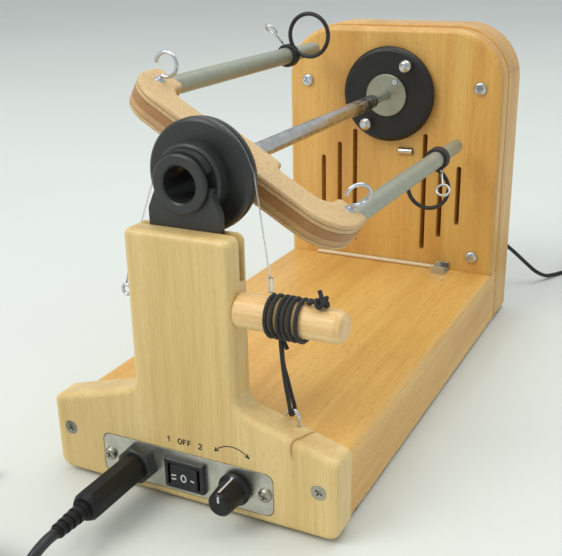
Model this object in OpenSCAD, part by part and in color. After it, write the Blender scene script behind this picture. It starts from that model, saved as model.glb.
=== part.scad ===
// Electric yarn spinner: a motor turns a disc with two pins that drives the bobbin,
// and a braked flyer with sliding guides lays the yarn on it.
// X is to the right, Y to the back, Z up. Modules are drawn with the front upright's
// face on Y = 0 and moved as a whole so that the origin is under the middle.

/* [Overall] */
// Width of the base, the panel and everything that lines up with them
base_w = 141; // [118:1:169]
// From the front face of the upright to the back of the housing
body_len = 294; // [250:1:350]
// Height of the flyer axis above the table
axis_h = 148.2; // [140:0.1:175]
// Height of the base top above the table
base_top = 36.5; // [34:0.5:44]
// Gap under the wood, the height of the rubber feet
foot_gap = 2; // [1.5:0.1:4]

/* [Front upright] */
// Thickness of the front upright
upright_t = 15; // [14:0.5:20]
// Width of the foot of the upright
foot_w = 147; // [144:1:178]
// Height of the foot at its outer ends
foot_h = 40; // [36:0.5:48]
// How far the foot's top rises over each 24 mm of its width
slope_rise = 7; // [4:0.5:10]
// Width of the post
post_w = 51; // [44:1:61]
// Distance from the flyer axis down to the top of the post
post_drop = 19.2; // [17:0.1:23]
// Fillet between the foot and the post
post_fillet = 9; // [4:0.5:10]
// Rounding of the front edges of the wood
edge_r = 3; // [1:0.1:3.2]

/* [Rear panel and housing] */
// Thickness of the panel
panel_t = 13; // [12:0.5:16]
// Depth of the housing behind the panel
housing_d = 29; // [28.5:0.5:35]
// Distance from the flyer axis up to the top of the housing
head_h = 41.3; // [36:0.1:50]
// Radius of the two top corners of the housing
top_r = 33.5; // [28:0.5:40]
// Width of the air slots
slot_w = 3; // [2:0.1:4]

/* [Bearing bracket and flyer] */
// Thickness of the bracket plate
bracket_t = 3.6; // [3:0.1:4.2]
// Width of the bracket plate
bracket_w = 34.4; // [30:0.2:41]
// Outer radius of the bracket's snap jaw
jaw_r = 14; // [12.5:0.1:16]
// Bore radius of the orifice
orifice_r = 7.7; // [6.4:0.1:8.4]
// Radius of the neck that turns in the jaw
neck_r = 10; // [9.6:0.1:10.8]
// Radius of the brake whorl
whorl_r = 24.7; // [21:0.1:29]
// Thickness of the brake whorl
whorl_t = 8.5; // [7:0.1:10]
// Angle of the flyer about its axis as it stands, degrees
flyer_tilt = 30; // [0:5:60]
// Distance from the flyer axis to each arm
arm_off = 54.5; // [48:0.5:60]
// Thickness of the flyer's plywood
bar_t = 14; // [12:0.5:16.8]
// Outer diameter of the arm tubes
arm_d = 9.5; // [8:0.1:10.5]
// Diameter of the flyer shaft
shaft_d = 8; // [7:0.1:9.4]
// Diameter of the shaft's thin end
shaft_tip_d = 5.3; // [4.6:0.1:6]

/* [Guides] */
// Outer diameter of the finger rings
ring_d = 26.8; // [22:0.1:30]
// Thickness of the finger rings
ring_wire = 2.4; // [2:0.1:3]
// Length of the sliding collars
collar_l = 6; // [5:0.1:8]

/* [Drive] */
// Radius of the drive disc
disc_r = 29.4; // [26:0.1:35]
// Thickness of the drive disc
disc_t = 5.5; // [5:0.1:6]
// Distance from the axis to each drive pin
pin_off = 22.2; // [20:0.1:24]
// Diameter of the drive pins
pin_d = 8; // [6.5:0.1:9]
// Diameter of the drive shaft
drive_d = 6; // [5:0.1:7]
// Radius of the driven pulley's belt track
driven_r = 18; // [14:0.1:21]
// Radius of the motor pulley's belt track
motor_pulley_r = 6; // [5:0.1:7.2]
// Height of the motor axis above the table
motor_h = 86.2; // [82:0.1:90]
// Diameter of the motor
motor_d = 38; // [32:0.5:41]

/* [Controls] */
// Length of the control plate
plate_l = 88.5; // [82:0.5:96]
// Height of the control plate
plate_h = 20.5; // [19:0.1:22]
// Thickness of the control plate
plate_t = 1.5; // [1:0.1:2]
// Length of the switch bezel
bezel_l = 21; // [19:0.1:22]
// Height of the switch bezel
bezel_h = 15; // [14:0.1:16]
// How far the speed knob stands out of the front face
knob_l = 16; // [13:0.5:20]
// Diameter of the speed knob at its tip
knob_d = 11; // [9:0.1:12]

/* [Tension peg] */
// Diameter of the peg at its root
peg_d = 15; // [13:0.1:15]
// Height of the peg axis above the table
peg_h = 98; // [92:0.5:100]
// Diameter of the tension cord
cord_d = 1.8; // [1.2:0.1:1.8]

/* [Cords] */
// Diameter of the pedal lead
pedal_cord_d = 4.7; // [4:0.1:4.8]
// Diameter of the power lead
power_cord_d = 2.8; // [2.4:0.1:3]

/* [Hidden] */
$fn = 48;

beech = [0.89, 0.77, 0.55];
honey = [0.82, 0.63, 0.35];
ply = [0.80, 0.64, 0.43];
black = [0.10, 0.10, 0.10];
steel = [0.72, 0.73, 0.72];
alu = [0.68, 0.69, 0.66];
zinc = [0.78, 0.82, 0.86];
nylon = [0.85, 0.88, 0.86];

// clearances
slip = 0.05;      // all round a turning shaft or a piece set in its hole
air = 0.3;        // between moving pieces and round a loose fit
over = 1;         // how far a cut runs past a face

// where things lie along Y
panel_y = body_len - housing_d - panel_t;
housing_y = panel_y + panel_t;
mid_y = (body_len - knob_l) / 2;

// wood
wood_r = edge_r + 0.5;
back_edge_r = 1.5;
base_wall = 12;
base_roof = 9;
cover_t = 3;
cover_lip = 5.5;
housing_wall = 20.5;
housing_back = 6;
housing_floor = 12;
housing_lip = 0.5;
panel_lip = 1.5;
housing_top = axis_h + head_h;
base_half = base_w / 2;
post_half = post_w / 2;
foot_half = foot_w / 2;
post_top = axis_h - post_drop;
foot_rise = slope_rise / 24;
cable_r = 6;
cable_z = 16;
foot_screw_x = base_half - base_wall / 2;
foot_screw_z = 25;
// air slots on a ring about the motor: [distance from the middle, half length]
slot_plan = [[23.7, 38], [34.6, 28.6], [46.2, 19]];

// screws
screw_r = 1.75;
pilot_r = 1.1;
head_r = 3.6;

// bracket
bracket_y = 9;
bracket_slot = 20;
shoulder_drop = 11.7;
jaw_gap_low = -5;
jaw_gap_high = 31;
waist_half = 12;

// flyer
ring_front = 6.2;
flange_r = neck_r + 2.7;
boss_r = 15.5;
flange_back = bracket_y - slip * 4;
boss_y = bracket_y + bracket_t + air;
whorl_y = 21.2;
whorl_back = whorl_y + whorl_t;
sleeve_r = 12;
groove_r = whorl_r - 1.3;
groove_y = 25;
bar_y = 42.5;
bar_half = arm_off + 7.5;
stub_w = 16.5;
stub_y = 71.5;
web_y = 58.5;
hub_half = 17;
hub_y = 65.5;
bar_seat = 4.5;
arm_seat = 12;
arm_end_y = 206;
arm_tip_y = 241;
arm_tip_d = 8.2;
shaft_seat = 14;
shaft_step_y = 220;
hook_wire = 1.8;
hook_r = 5.6;
hook_stem = 2.4;
hook_d = arm_off - 1.2;
hook_root = arm_d / 2 + 0.3;
// cup hooks: [side, y, turn about the stem]
hook_plan = [[-1, 60.6, 0], [1, 67, 45]];

// guides
collar_y = 200;
collar_r = arm_d / 2 + 1.9;
ring_r = ring_d / 2 - ring_wire / 2;
ring_reach = arm_d / 2 + ring_wire / 2 + slip * 2 + ring_r;
eyelet_wire = 1.4;
eyelet_r = 3.6;
eyelet_reach = 17;
eyelet_lead = 8;
// angles on the left and the right arm
ring_angle = [71, -76];
eyelet_angle = [143, -37];

// drive
disc_y = panel_y - 7;
hub_front = disc_y - 2;
hub_r = 13;
hub_core_r = 9;
hub_back = panel_y - 0.5;
tip_end = hub_front + 3;
drive_front = tip_end + 1;
pin_angle = 55.5;
pin_reach = 6;
pin_shank_r = 2.6;
bearing_d = drive_d + 7;
bearing_t = 5;
pulley_y = housing_y + 16;
pulley_w = 6;
flange_t = 1;
flange_h = 2;
belt_t = 1.5;
belt_w = 3.4;
mount_t = 2.5;
mount_w = 43;
motor_t = 11;
stator_t = 4;
motor_shaft_r = 1.6;

// controls
plate_x = -1.25;
plate_z = 16.75;
plate_r = 4;
plate_gap = 0.3;
screw_inset = 3.6;
window_l = 70.5;
window_h = 16;
jack_x = -25.3;
jack_z = 16.8;
jack_hole = 4.75;
jack_bore = 3.25;
jack_body = 15;
jack_depth = 22;
nut_r = 9.6;
nut_t = 6;
rocker_x = -0.5;
rocker_z = 16.4;
bezel_t = 2.6;
bezel_rim = 2.1;
paddle_play = 1;
bezel_depth = 15;
rocker_half = bezel_l / 2 - 1.1;
rocker_high = bezel_h / 2 - 1.1;
paddle_half = bezel_l / 2 - bezel_rim - paddle_play;
paddle_high = bezel_h / 2 - bezel_rim - air;
paddle_axis_y = 1;
paddle_pin_r = 1.5;
knob_x = 25.3;
knob_z = 17;
pot_r = 7.6;
pot_t = 8;
pot_shaft_r = 3;
bush_r = 3.5;
inlet_x = 52;
inlet_z = 38;
inlet_r = 5.5;
inlet_bore = 2.75;

// peg and cord
peg_y = 7.5;
peg_out = foot_half - post_half;
peg_taper = 1;
tenon_d = 10;
tenon_l = 28;
wind_r = peg_d / 2 + cord_d / 2 + 0.1;
wind_x = [41.2, 43.5, 46.7, 49.0, 51.3, 54.6, 56.9];
knot_x = 63;
knot_y = peg_y - 1.6;
knot_r = wind_r + 1;
wind_rings = 24;
strand_points = [
    [43.4, 7.7, 88.3], [43.6, 7.5, 84], [44.5, 7.3, 76], [45.6, 8.4, 68], [46.5, 9.4, 60],
    [47.0, 9.9, 54.8], [47.0, 10.25, 53.0], [47.0, 12, 51.8], [47.0, 13.75, 53.0],
    [47.0, 14.1, 54.8], [46.8, 13.4, 60], [46.1, 12.0, 68], [45.4, 10.4, 76],
    [45.0, 10.2, 83], [44.9, 10.1, 88]];

// screw hook in the foot, and the anchor and run of the brake line
hook_x = 50;
hook_y = 12;
hook_seat = 9;
hook_z = foot_h + (foot_half - hook_x) * foot_rise;
anchor_z = 98;
anchor_l = 8;
line_d = 0.7;
line_r = groove_r + line_d / 2 + air;
line_left = [[-30.7, 7.5, 101.1], [-30.1, 9.3, 107.8]];
line_right = [[39.4, 8.8, 115.4], [40.2, 7.8, 113.6]];
line_ends = [172, 22];
line_lead = 7;

// small things on the base and the panel
hook_rod_r = 1.3;
rod_x = [-49, 34];
pin_x = 11.3;
pin_z = 112.4;
pin_r = 2.4;
pin_l = 9;

// plugs and leads
plug_y = -nut_t;
barrel_l = 36;
barrel_flat = 13;
relief_l = 18;
power_relief_l = 17;
adapter_lead = 22;
adapter_exit = 6;
pedal_route = [
    [-25.3, -60, 16.8], [-25.3, -65, 16.8], [-25.6, -71, 15.3], [-26.4, -77, 11.8], [-27.7, -83, 7.6],
    [-29.6, -88, 4.5], [-30.2, -92, 2.9], [-30.25, -95.6, 2.4], [-30, -99.3, 2.35]];
power_route = [
    [52, 324, 38], [52, 329, 38], [54, 334, 35.6], [59, 338, 30], [66, 341, 23.5], [74, 344, 15.5],
    [80.5, 348.5, 8.5], [86, 356, 3.6], [90, 364.5, 1.8], [94.6, 372.6, 1.45], [98.6, 379.6, 1.4],
    [100.5, 384, 1.4], [101, 388.2, 1.4]];
coil_gap = 0.55;
coil_rings = 24;
pedal_per = 2.5;
pedal_layers = 4;
pedal_mid = 26;
pedal_at = [-30, -104];
pedal_turn = 180;
power_per = 3;
power_layers = 4;
power_mid = 16.5;
power_at = [101, 391];
power_turn = 0;

function unit(v) = v / norm(v);
function xy(c) = [c[0], c[1]];
function before(c, i) = c[(i + len(c) - 1) % len(c)];
function after(c, i) = c[(i + 1) % len(c)];
function heading(a, b) = atan2(b[1] - a[1], b[0] - a[0]);
function wrap(t) = t > 180 ? t - 360 : t < -180 ? t + 360 : t;
function turn(c, i) = wrap(heading(c[i], after(c, i)) - heading(before(c, i), c[i]));
function setback(c, i) = c[i][2] * tan(abs(turn(c, i)) / 2);
function toward(a, b, d) = xy(a) + d * unit(xy(b) - xy(a));
function arc_start(c, i) = toward(c[i], before(c, i), setback(c, i));
function arc_end(c, i) = toward(c[i], after(c, i), setback(c, i));
function arc_mid(c, i) =
    let (h = heading(before(c, i), c[i]))
    arc_start(c, i) + c[i][2] * sign(turn(c, i)) * [-sin(h), cos(h)];

// The slice of a disc that rounds corner i
module corner_slice(c, i) {
    intersection() {
        translate(arc_mid(c, i)) circle(c[i][2]);
        polygon([arc_start(c, i), xy(c[i]), arc_end(c, i), arc_mid(c, i)]);
    }
}

// A flat shape from corners [x, y, radius], counter-clockwise, with true arcs
module outline(c) {
    ids = [0 : len(c) - 1];
    difference() {
        union() {
            polygon([for (i = ids) each c[i][2] > 0 ? [arc_start(c, i), arc_end(c, i)] : [xy(c[i])]]);
            for (i = ids) if (c[i][2] > 0 && turn(c, i) > 0) corner_slice(c, i);
        }
        for (i = ids) if (c[i][2] > 0 && turn(c, i) < 0) corner_slice(c, i);
    }
}

// What a quarter round takes off an edge: the wood is at x > 0, y < 0
module cove(r) {
    difference() {
        translate([-over, -r]) square(r + over);
        translate([r, -r]) circle(r);
    }
}

// Rounds the edges of an outline's face at z = 0, wood below; edges in plain stay square
module edge_cuts(c, r, plain = []) {
    for (i = [0 : len(c) - 1]) {
        a = arc_end(c, i);
        b = arc_start(c, (i + 1) % len(c));
        lead = c[i][2] > 0 ? 0 : over;
        tail = after(c, i)[2] > 0 ? 0 : over;
        if (len(search(i, plain)) == 0)
            translate([a[0], a[1], 0]) rotate(heading(a, b)) translate([-lead, 0, 0])
                rotate([90, 0, 90]) linear_extrude(norm(b - a) + lead + tail) cove(r);
        m = arc_mid(c, i);
        t = turn(c, i);
        if (c[i][2] > 0 && t > 0)
            translate([m[0], m[1], 0]) rotate(heading(before(c, i), c[i]) - 90)
                rotate_extrude(angle = t) translate([c[i][2], 0]) mirror([1, 0]) cove(r);
        if (c[i][2] > 0 && t < 0)
            translate([m[0], m[1], 0]) rotate(heading(c[i], after(c, i)) + 90)
                rotate_extrude(angle = -t) translate([c[i][2], 0]) cove(r);
    }
}

// A board of thickness t with rounded outline corners and rounded edges
module board(c, t, top_edge, bottom_edge, plain = []) {
    difference() {
        linear_extrude(t) outline(c);
        if (top_edge > 0) translate([0, 0, t]) edge_cuts(c, top_edge, plain);
        if (bottom_edge > 0) mirror([0, 0, 1]) edge_cuts(c, bottom_edge, plain);
    }
}

// Stands a board drawn flat upright: its top face looks to the front from y
module facing_front(y) translate([0, y, 0]) rotate([90, 0, 0]) children();

// Revolves a profile of [radius, y] about the Y axis
module turned(profile) rotate([-90, 0, 0]) rotate_extrude() polygon(profile);

// A round bar or hole from y1 to y2 about the Y axis
module bar_y(r, y1, y2) translate([0, y1, 0]) rotate([-90, 0, 0]) cylinder(r = r, h = y2 - y1);

module at_axis(x, z) translate([x, 0, z]) children();

module block(x1, x2, y1, y2, z1, z2) translate([x1, y1, z1]) cube([x2 - x1, y2 - y1, z2 - z1]);

module both_sides() {
    children();
    mirror([1, 0, 0]) children();
}

// A tube swept along points, with flat sides; up is a direction no stretch runs along
function heading3(p, i) = unit(p[min(i + 1, len(p) - 1)] - p[max(i - 1, 0)]);
module swept(p, r, sides, up) {
    n = len(p);
    points = [for (i = [0 : n - 1])
        let (t = heading3(p, i), u = unit(cross(t, up)), v = cross(u, t))
        for (k = [0 : sides - 1]) p[i] + r * (cos(360 * k / sides) * u + sin(360 * k / sides) * v)];
    walls = [for (i = [0 : n - 2], k = [0 : sides - 1])
        let (a = i * sides + k, b = i * sides + (k + 1) % sides)
        each [[a, b, b + sides], [a, b + sides, a + sides]]];
    first = [for (k = [sides - 1 : -1 : 0]) k];
    last = [for (k = [0 : sides - 1]) (n - 1) * sides + k];
    polyhedron(points, concat([first], walls, [last]));
}

// A smooth curve through points, with n steps in each stretch
function curve_at(a, b, c, d, t) =
    0.5 * (2 * b + (c - a) * t + (2 * a - 5 * b + 4 * c - d) * t * t + (3 * b - a - 3 * c + d) * t * t * t);
function smooth(p, n) = concat(
    [for (i = [0 : len(p) - 2], s = [0 : n - 1])
        curve_at(p[max(i - 1, 0)], p[i], p[i + 1], p[min(i + 2, len(p) - 1)], s / n)],
    [p[len(p) - 1]]);

// The least space a wound tube leaves to itself, between points more than half a turn apart
function least_gap(p, d, apart) =
    min([for (i = [0 : len(p) - 1 - apart], j = [i + apart : len(p) - 1]) norm(p[i] - p[j])]) - d;

// ---- wood ----

function upright_corners() = [
    [-foot_half, foot_gap, 6], [foot_half, foot_gap, 6], [foot_half, foot_h, wood_r],
    [post_half, foot_h + (foot_half - post_half) * foot_rise, post_fillet],
    [post_half, post_top, wood_r], [-post_half, post_top, wood_r],
    [-post_half, foot_h + (foot_half - post_half) * foot_rise, post_fillet],
    [-foot_half, foot_h, wood_r]];

module front_upright() color(beech) {
    difference() {
        facing_front(upright_t) board(upright_corners(), upright_t, edge_r, back_edge_r);
        // slot for the bearing bracket
        block(-foot_half, foot_half, bracket_y, bracket_y + bracket_t + slip,
              post_top - bracket_slot, post_top + over);
        // recess and window for the controls
        facing_front(plate_t) linear_extrude(plate_t + over) plate_shape(plate_gap);
        block(plate_x - window_l / 2, plate_x + window_l / 2, 0, upright_t + over,
              plate_z - window_h / 2, plate_z + window_h / 2);
        for (x = plate_screw_x()) at_axis(x, plate_z) bar_y(pilot_r, plate_t - over, 12);
        both_sides() at_axis(foot_screw_x, foot_screw_z) screw_hole(screw_r + slip, upright_t, 0);
        translate([hook_x, hook_y, hook_z - hook_seat])
            cylinder(r = hook_wire / 2 + slip, h = hook_seat * 2);
        // peg bore on the right, line anchor on the left
        translate([post_half - tenon_l - slip, peg_y, peg_h]) rotate([0, 90, 0])
            cylinder(d = tenon_d + 2 * slip, h = tenon_l * 2);
        translate([-post_half - over, peg_y, anchor_z]) rotate([0, 90, 0])
            cylinder(r = hook_wire / 2 + slip, h = anchor_l + over);
    }
}

// A countersunk hole through wood from a face that looks to -Y at y
module screw_hole(r, l, y) {
    bar_y(r, y - over, y + l + over);
    translate([0, y - slip, 0]) rotate([-90, 0, 0]) cylinder(r1 = head_r + slip, r2 = r, h = head_r - r + slip);
    bar_y(head_r + slip, y - over, y);
}

module base_block() color(beech) {
    rail_y = upright_t + base_wall;
    difference() {
        facing_front(housing_y) linear_extrude(housing_y - upright_t)
            outline([[-base_half, foot_gap, 1], [base_half, foot_gap, 1],
                     [base_half, base_top, edge_r], [-base_half, base_top, edge_r]]);
        // hollow from below, with a rail and an opening behind the controls
        block(-base_half + base_wall, base_half - base_wall, rail_y, panel_y,
              0, base_top - base_roof);
        block(plate_x - window_l / 2, plate_x + window_l / 2, upright_t - over, rail_y + over,
              plate_z - window_h / 2, plate_z + window_h / 2);
        block(-base_half + base_wall - cover_lip, base_half - base_wall + cover_lip,
              rail_y - cover_lip, panel_y + cover_lip, 0, foot_gap + cover_t);
        at_axis(0, cable_z) bar_y(cable_r, panel_y - over, housing_y + over);
        both_sides() at_axis(foot_screw_x, foot_screw_z)
            bar_y(screw_r + slip, upright_t - over, upright_t + 24);
        cover_screw_places() translate([0, 0, foot_gap]) cylinder(r = pilot_r + slip, h = 16);
    }
}

module cover_screw_places() {
    inset = cover_lip / 2;
    for (x = [-1, 1], y = [upright_t + 40, (upright_t + panel_y) / 2, panel_y - 28])
        translate([x * (base_half - base_wall + inset), y, 0]) children();
}

module bottom_cover() color(ply) {
    rail_y = upright_t + base_wall;
    difference() {
        block(-base_half + base_wall - cover_lip + air, base_half - base_wall + cover_lip - air,
              rail_y - cover_lip + air, panel_y + cover_lip - air, foot_gap, foot_gap + cover_t);
        cover_screw_places() {
            cylinder(r = pilot_r + slip, h = base_top);
            translate([0, 0, foot_gap]) cylinder(r1 = 2.2 + 2 * slip, r2 = pilot_r + 2 * slip, h = 1.2);
        }
    }
}

module cover_screws() {
    cover_screw_places() difference() {
        union() {
            translate([0, 0, foot_gap]) cylinder(r1 = 2.2, r2 = pilot_r, h = 1.2);
            translate([0, 0, foot_gap]) cylinder(r = pilot_r, h = 12);
        }
        translate([0, 0, foot_gap]) cross_recess(1.1, 0.8);
    }
}

module rubber_feet() color(black) {
    r = 5.2;
    for (y = [upright_t + 14, body_len - 14]) both_sides()
        translate([base_half - base_wall / 2, y, 0]) rotate_extrude()
            outline([[0, 0, 0], [r, 0, 0.6], [r, foot_gap, 0], [0, foot_gap, 0]]);
}

function housing_corners(half, low, high, r) = [
    [-half, low, 2], [half, low, 2], [half, high, r], [-half, high, r]];

module rear_housing() color(honey) {
    half = base_half + housing_lip;
    inner = half - housing_wall;
    difference() {
        translate([0, housing_y, 0]) mirror([0, 1, 0]) facing_front(0)
            board(housing_corners(half, foot_gap, housing_top, top_r), housing_d, edge_r - 1, 1);
        // motor and belt space
        facing_front(body_len - housing_back) linear_extrude(housing_d)
            outline([[-inner, housing_floor, 4], [inner, housing_floor, 4],
                     [inner, housing_top - 11.5, top_r - 11.5], [-inner, housing_top - 11.5, top_r - 11.5]]);
        panel_screw_places() bar_y(pilot_r, panel_y, housing_y + 16);
        at_axis(inlet_x, inlet_z) bar_y(inlet_r + slip, housing_y, body_len + over);
    }
}

module panel_screw_places() {
    x = base_half - 13.5;
    for (z = [base_top + 10.5, axis_h + 5.8]) both_sides() at_axis(x, z) children();
}

module rear_panel() color(honey) {
    top = housing_top - panel_lip;
    corners = [[-base_half, base_top, 0], [base_half, base_top, 0],
               [base_half, top, top_r - panel_lip], [-base_half, top, top_r - panel_lip]];
    difference() {
        facing_front(housing_y) board(corners, panel_t, edge_r, 0.8, [0]);
        at_axis(0, axis_h) bar_y(bearing_d / 2 + slip, panel_y - over, housing_y + over);
        for (s = slot_plan) both_sides() at_axis(s[0], motor_h)
            facing_front(housing_y + over) linear_extrude(panel_t + 2 * over)
                outline([[-slot_w / 2, -s[1], slot_w / 2 - 0.01], [slot_w / 2, -s[1], slot_w / 2 - 0.01],
                         [slot_w / 2, s[1], slot_w / 2 - 0.01], [-slot_w / 2, s[1], slot_w / 2 - 0.01]]);
        panel_screw_places() bar_y(screw_r + slip, panel_y - over, housing_y + over);
        mount_screw_places() bar_y(pilot_r, housing_y - 8, housing_y + over);
        translate([pin_x, panel_y, pin_z]) pin_seat(slip);
    }
}

// ---- screws ----

// A cross cut r wide each way and l deep, upwards from z = 0
module cross_recess(r, l) {
    w = r * 0.42;
    for (a = [0, 90]) rotate(a) translate([-r, -w / 2, -over]) cube([2 * r, w, l + over]);
}

// A pan-head screw with its head's underside on z = 0 and its shank going up
module pan_screw(head, high, shank, l, depth) {
    difference() {
        union() {
            rotate_extrude() outline([[0, -high, 0], [head, -high, high * 0.75], [head, 0, 0], [0, 0, 0]]);
            cylinder(r = shank, h = l);
        }
        translate([0, 0, -high]) rotate(20) cross_recess(head * 0.55, depth);
    }
}

// A countersunk screw with its face on z = 0 and its shank going up
module flat_screw(head, shank, l, depth) {
    difference() {
        union() {
            cylinder(r1 = head, r2 = shank, h = head - shank);
            translate([0, 0, head - shank]) cylinder(r = shank, h = l - head + shank);
        }
        rotate(30) cross_recess(head * 0.5, depth);
    }
}

module into_y() rotate([-90, 0, 0]) children();

module upright_screws() {
    both_sides() translate([foot_screw_x, 0, foot_screw_z]) into_y()
        flat_screw(head_r, screw_r, upright_t + 20, 1.1);
}

// The screws of the upright, the control plate and the bottom cover
module case_screws() color(zinc) {
    upright_screws();
    plate_screws();
    cover_screws();
}

module panel_screws() color(zinc) {
    panel_screw_places() translate([0, panel_y, 0]) into_y() pan_screw(3.9, 2.3, screw_r, panel_t, 1.3);
    panel_screw_places() translate([0, housing_y, 0]) into_y() cylinder(r = pilot_r - slip, h = 14);
}

// ---- controls ----

function plate_screw_x() = [plate_x - plate_l / 2 + screw_inset, plate_x + plate_l / 2 - screw_inset];

module plate_shape(grow) {
    w = plate_l / 2 + grow;
    h = plate_h / 2 + grow;
    translate([plate_x, plate_z])
        outline([[-w, -h, plate_r], [w, -h, plate_r], [w, h, plate_r], [-w, h, plate_r]]);
}

module control_plate() color(alu) {
    difference() {
        facing_front(plate_t) linear_extrude(plate_t) plate_shape(0);
        at_axis(jack_x, jack_z) bar_y(jack_hole + slip, -over, plate_t + over);
        at_axis(knob_x, knob_z) bar_y(bush_r + slip, -over, plate_t + over);
        for (x = plate_screw_x()) at_axis(x, plate_z) bar_y(screw_r, -over, plate_t + over);
        at_axis(rocker_x, rocker_z) block(-rocker_half - slip, rocker_half + slip, -over,
            plate_t + over, -rocker_high - slip, rocker_high + slip);
    }
}

module plate_screws() {
    for (x = plate_screw_x()) translate([x, 0, plate_z]) into_y() pan_screw(3.2, 1.9, pilot_r - slip, 11, 1.1);
}

module jack_socket() color(black) {
    at_axis(jack_x, jack_z) difference() {
        union() {
            block(-jack_body / 2, jack_body / 2, plate_t, plate_t + jack_depth, -7.5, 7.5);
            bar_y(jack_hole, -nut_t + 0.8, plate_t);
        }
        bar_y(jack_bore, -nut_t - over, plate_t + jack_depth + over);
    }
}

module jack_nut() color(black) {
    at_axis(jack_x, jack_z) difference() {
        intersection() {
            rotate([90, 15, 0]) cylinder(r = nut_r, h = nut_t, $fn = 6);
            turned([[0, over], [nut_r + 0.4, over], [nut_r + 0.4, -nut_t + 2.5],
                    [nut_r - 1.6, -nut_t - 0.1], [0, -nut_t - 0.1]]);
        }
        bar_y(jack_hole + slip, -nut_t - over, over);
    }
}

module rocker_body() color(black) {
    l = bezel_l / 2;
    h = bezel_h / 2;
    hollow_l = paddle_half + paddle_play;
    hollow_h = paddle_high + air;
    at_axis(rocker_x, rocker_z) difference() {
        union() {
            facing_front(0) board([[-l, -h, 1.4], [l, -h, 1.4], [l, h, 1.4], [-l, h, 1.4]], bezel_t, 1.2, 0);
            block(-rocker_half, rocker_half, 0, bezel_depth, -rocker_high, rocker_high);
            for (x = [-6, 0, 6]) block(x - 0.4, x + 0.4, bezel_depth, bezel_depth + 7, -2.4, 2.4);
        }
        block(-hollow_l, hollow_l, -bezel_t - over, 9.6, -hollow_h, hollow_h);
        translate([0, paddle_axis_y, -rocker_high + slip])
            cylinder(r = paddle_pin_r + slip, h = 2 * (rocker_high - slip));
    }
}

// The paddle's two faces fall away from the middle, and it rocks on a cross pin
module rocker_paddle() color(black) {
    crest = -bezel_t - 0.6;
    at_axis(rocker_x, rocker_z) {
        translate([0, 0, -paddle_high]) linear_extrude(2 * paddle_high) difference() {
            outline([[-paddle_half, crest, 1.2], [paddle_half, crest, 1.2], [paddle_half - 0.8, 0.6, 0],
                     [3, 6, 2], [-3, 6, 2], [-paddle_half + 0.8, 0.6, 0]]);
            // a shallow hollow across the face for the finger
            translate([0, crest - 25.3]) circle(r = 26, $fn = 96);
        }
        translate([0, paddle_axis_y, -rocker_high + 4 * slip])
            cylinder(r = paddle_pin_r, h = 2 * (rocker_high - 4 * slip));
    }
}

module speed_pot() color(steel) {
    at_axis(knob_x, knob_z) difference() {
        union() {
            bar_y(pot_r, plate_t, plate_t + pot_t);
            bar_y(bush_r, -1.5, plate_t);
            block(-5, 5, plate_t + 1, plate_t + 2.4, -pot_r + 0.6, 0);
        }
        bar_y(pot_shaft_r + slip, -2 * over, plate_t + pot_t - 1.5);
    }
}

module pot_shaft() color(steel) {
    at_axis(knob_x, knob_z) bar_y(pot_shaft_r, -knob_l + 4, plate_t + pot_t - 2);
}

module speed_knob() color(black) {
    skirt = knob_d / 2 + 2.2;
    root = -2;
    at_axis(knob_x, knob_z) difference() {
        union() {
            turned([[0, root], [skirt, root], [skirt, root - 0.9], [skirt - 0.7, root - 1.5],
                    [knob_d / 2 + 0.9, root - 2.3], [knob_d / 2, -knob_l + 1],
                    [knob_d / 2 - 1, -knob_l], [0, -knob_l]]);
            block(-0.5, 0.5, -knob_l + 0.6, root, 0, knob_d / 2 + 0.8);
        }
        bar_y(pot_shaft_r + slip, -knob_l + 4 - slip, 0);
    }
}

module circuit_board() color([0.12, 0.35, 0.2]) {
    z = foot_gap + cover_t + 4;
    y = upright_t + 45;
    for (x = [-26, 26], v = [4, 44]) translate([x, y + v, foot_gap + cover_t]) cylinder(r = 2.5, h = 4);
    block(-30, 30, y, y + 48, z, z + 1.6);
    for (x = [-18, 0]) translate([x, y + 34, z + 1.6]) cylinder(r = 4, h = 10);
    block(12, 24, y + 8, y + 20, z + 1.6, z + 6);
    block(-24, -6, y + 3, y + 11, z + 1.6, z + 9);
}

module dc_inlet() color(black) {
    at_axis(inlet_x, inlet_z) difference() {
        bar_y(inlet_r, body_len - 14, body_len - 0.2);
        difference() {
            bar_y(inlet_bore, body_len - 10, body_len + over);
            bar_y(0.95, body_len - 11, body_len - 2);
        }
    }
}

// ---- bearing bracket ----

module bracket_shape() {
    low = post_top - bracket_slot - axis_h;
    half = bracket_w / 2;
    difference() {
        union() {
            outline([[-half, low, 0], [half, low, 0], [half, -shoulder_drop, 4],
                     [waist_half, 0, 3], [-waist_half, 0, 3], [-half, -shoulder_drop, 4]]);
            circle(r = jaw_r, $fn = 96);
        }
        circle(r = neck_r + slip, $fn = 96);
        polygon([[0, 0], 3 * jaw_r * [cos(jaw_gap_low), sin(jaw_gap_low)],
                 3 * jaw_r * [cos(jaw_gap_high), sin(jaw_gap_high)]]);
    }
    // the jaw's lip is rounded, and the yarn side stays open
    lip = (jaw_r - neck_r - slip) / 2;
    rotate(jaw_gap_high) translate([neck_r + slip + lip, 0]) circle(r = lip - 0.04);
}

module bearing_bracket() color(black) {
    at_axis(0, axis_h) facing_front(bracket_y + bracket_t) linear_extrude(bracket_t) bracket_shape();
}

// ---- flyer: local X runs along the bar, local Z out of its face ----

module flyer_place() translate([0, 0, axis_h]) rotate([0, flyer_tilt, 0]) children();
module on_arm(side) flyer_place() translate([side * arm_off, 0, 0]) children();

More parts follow.
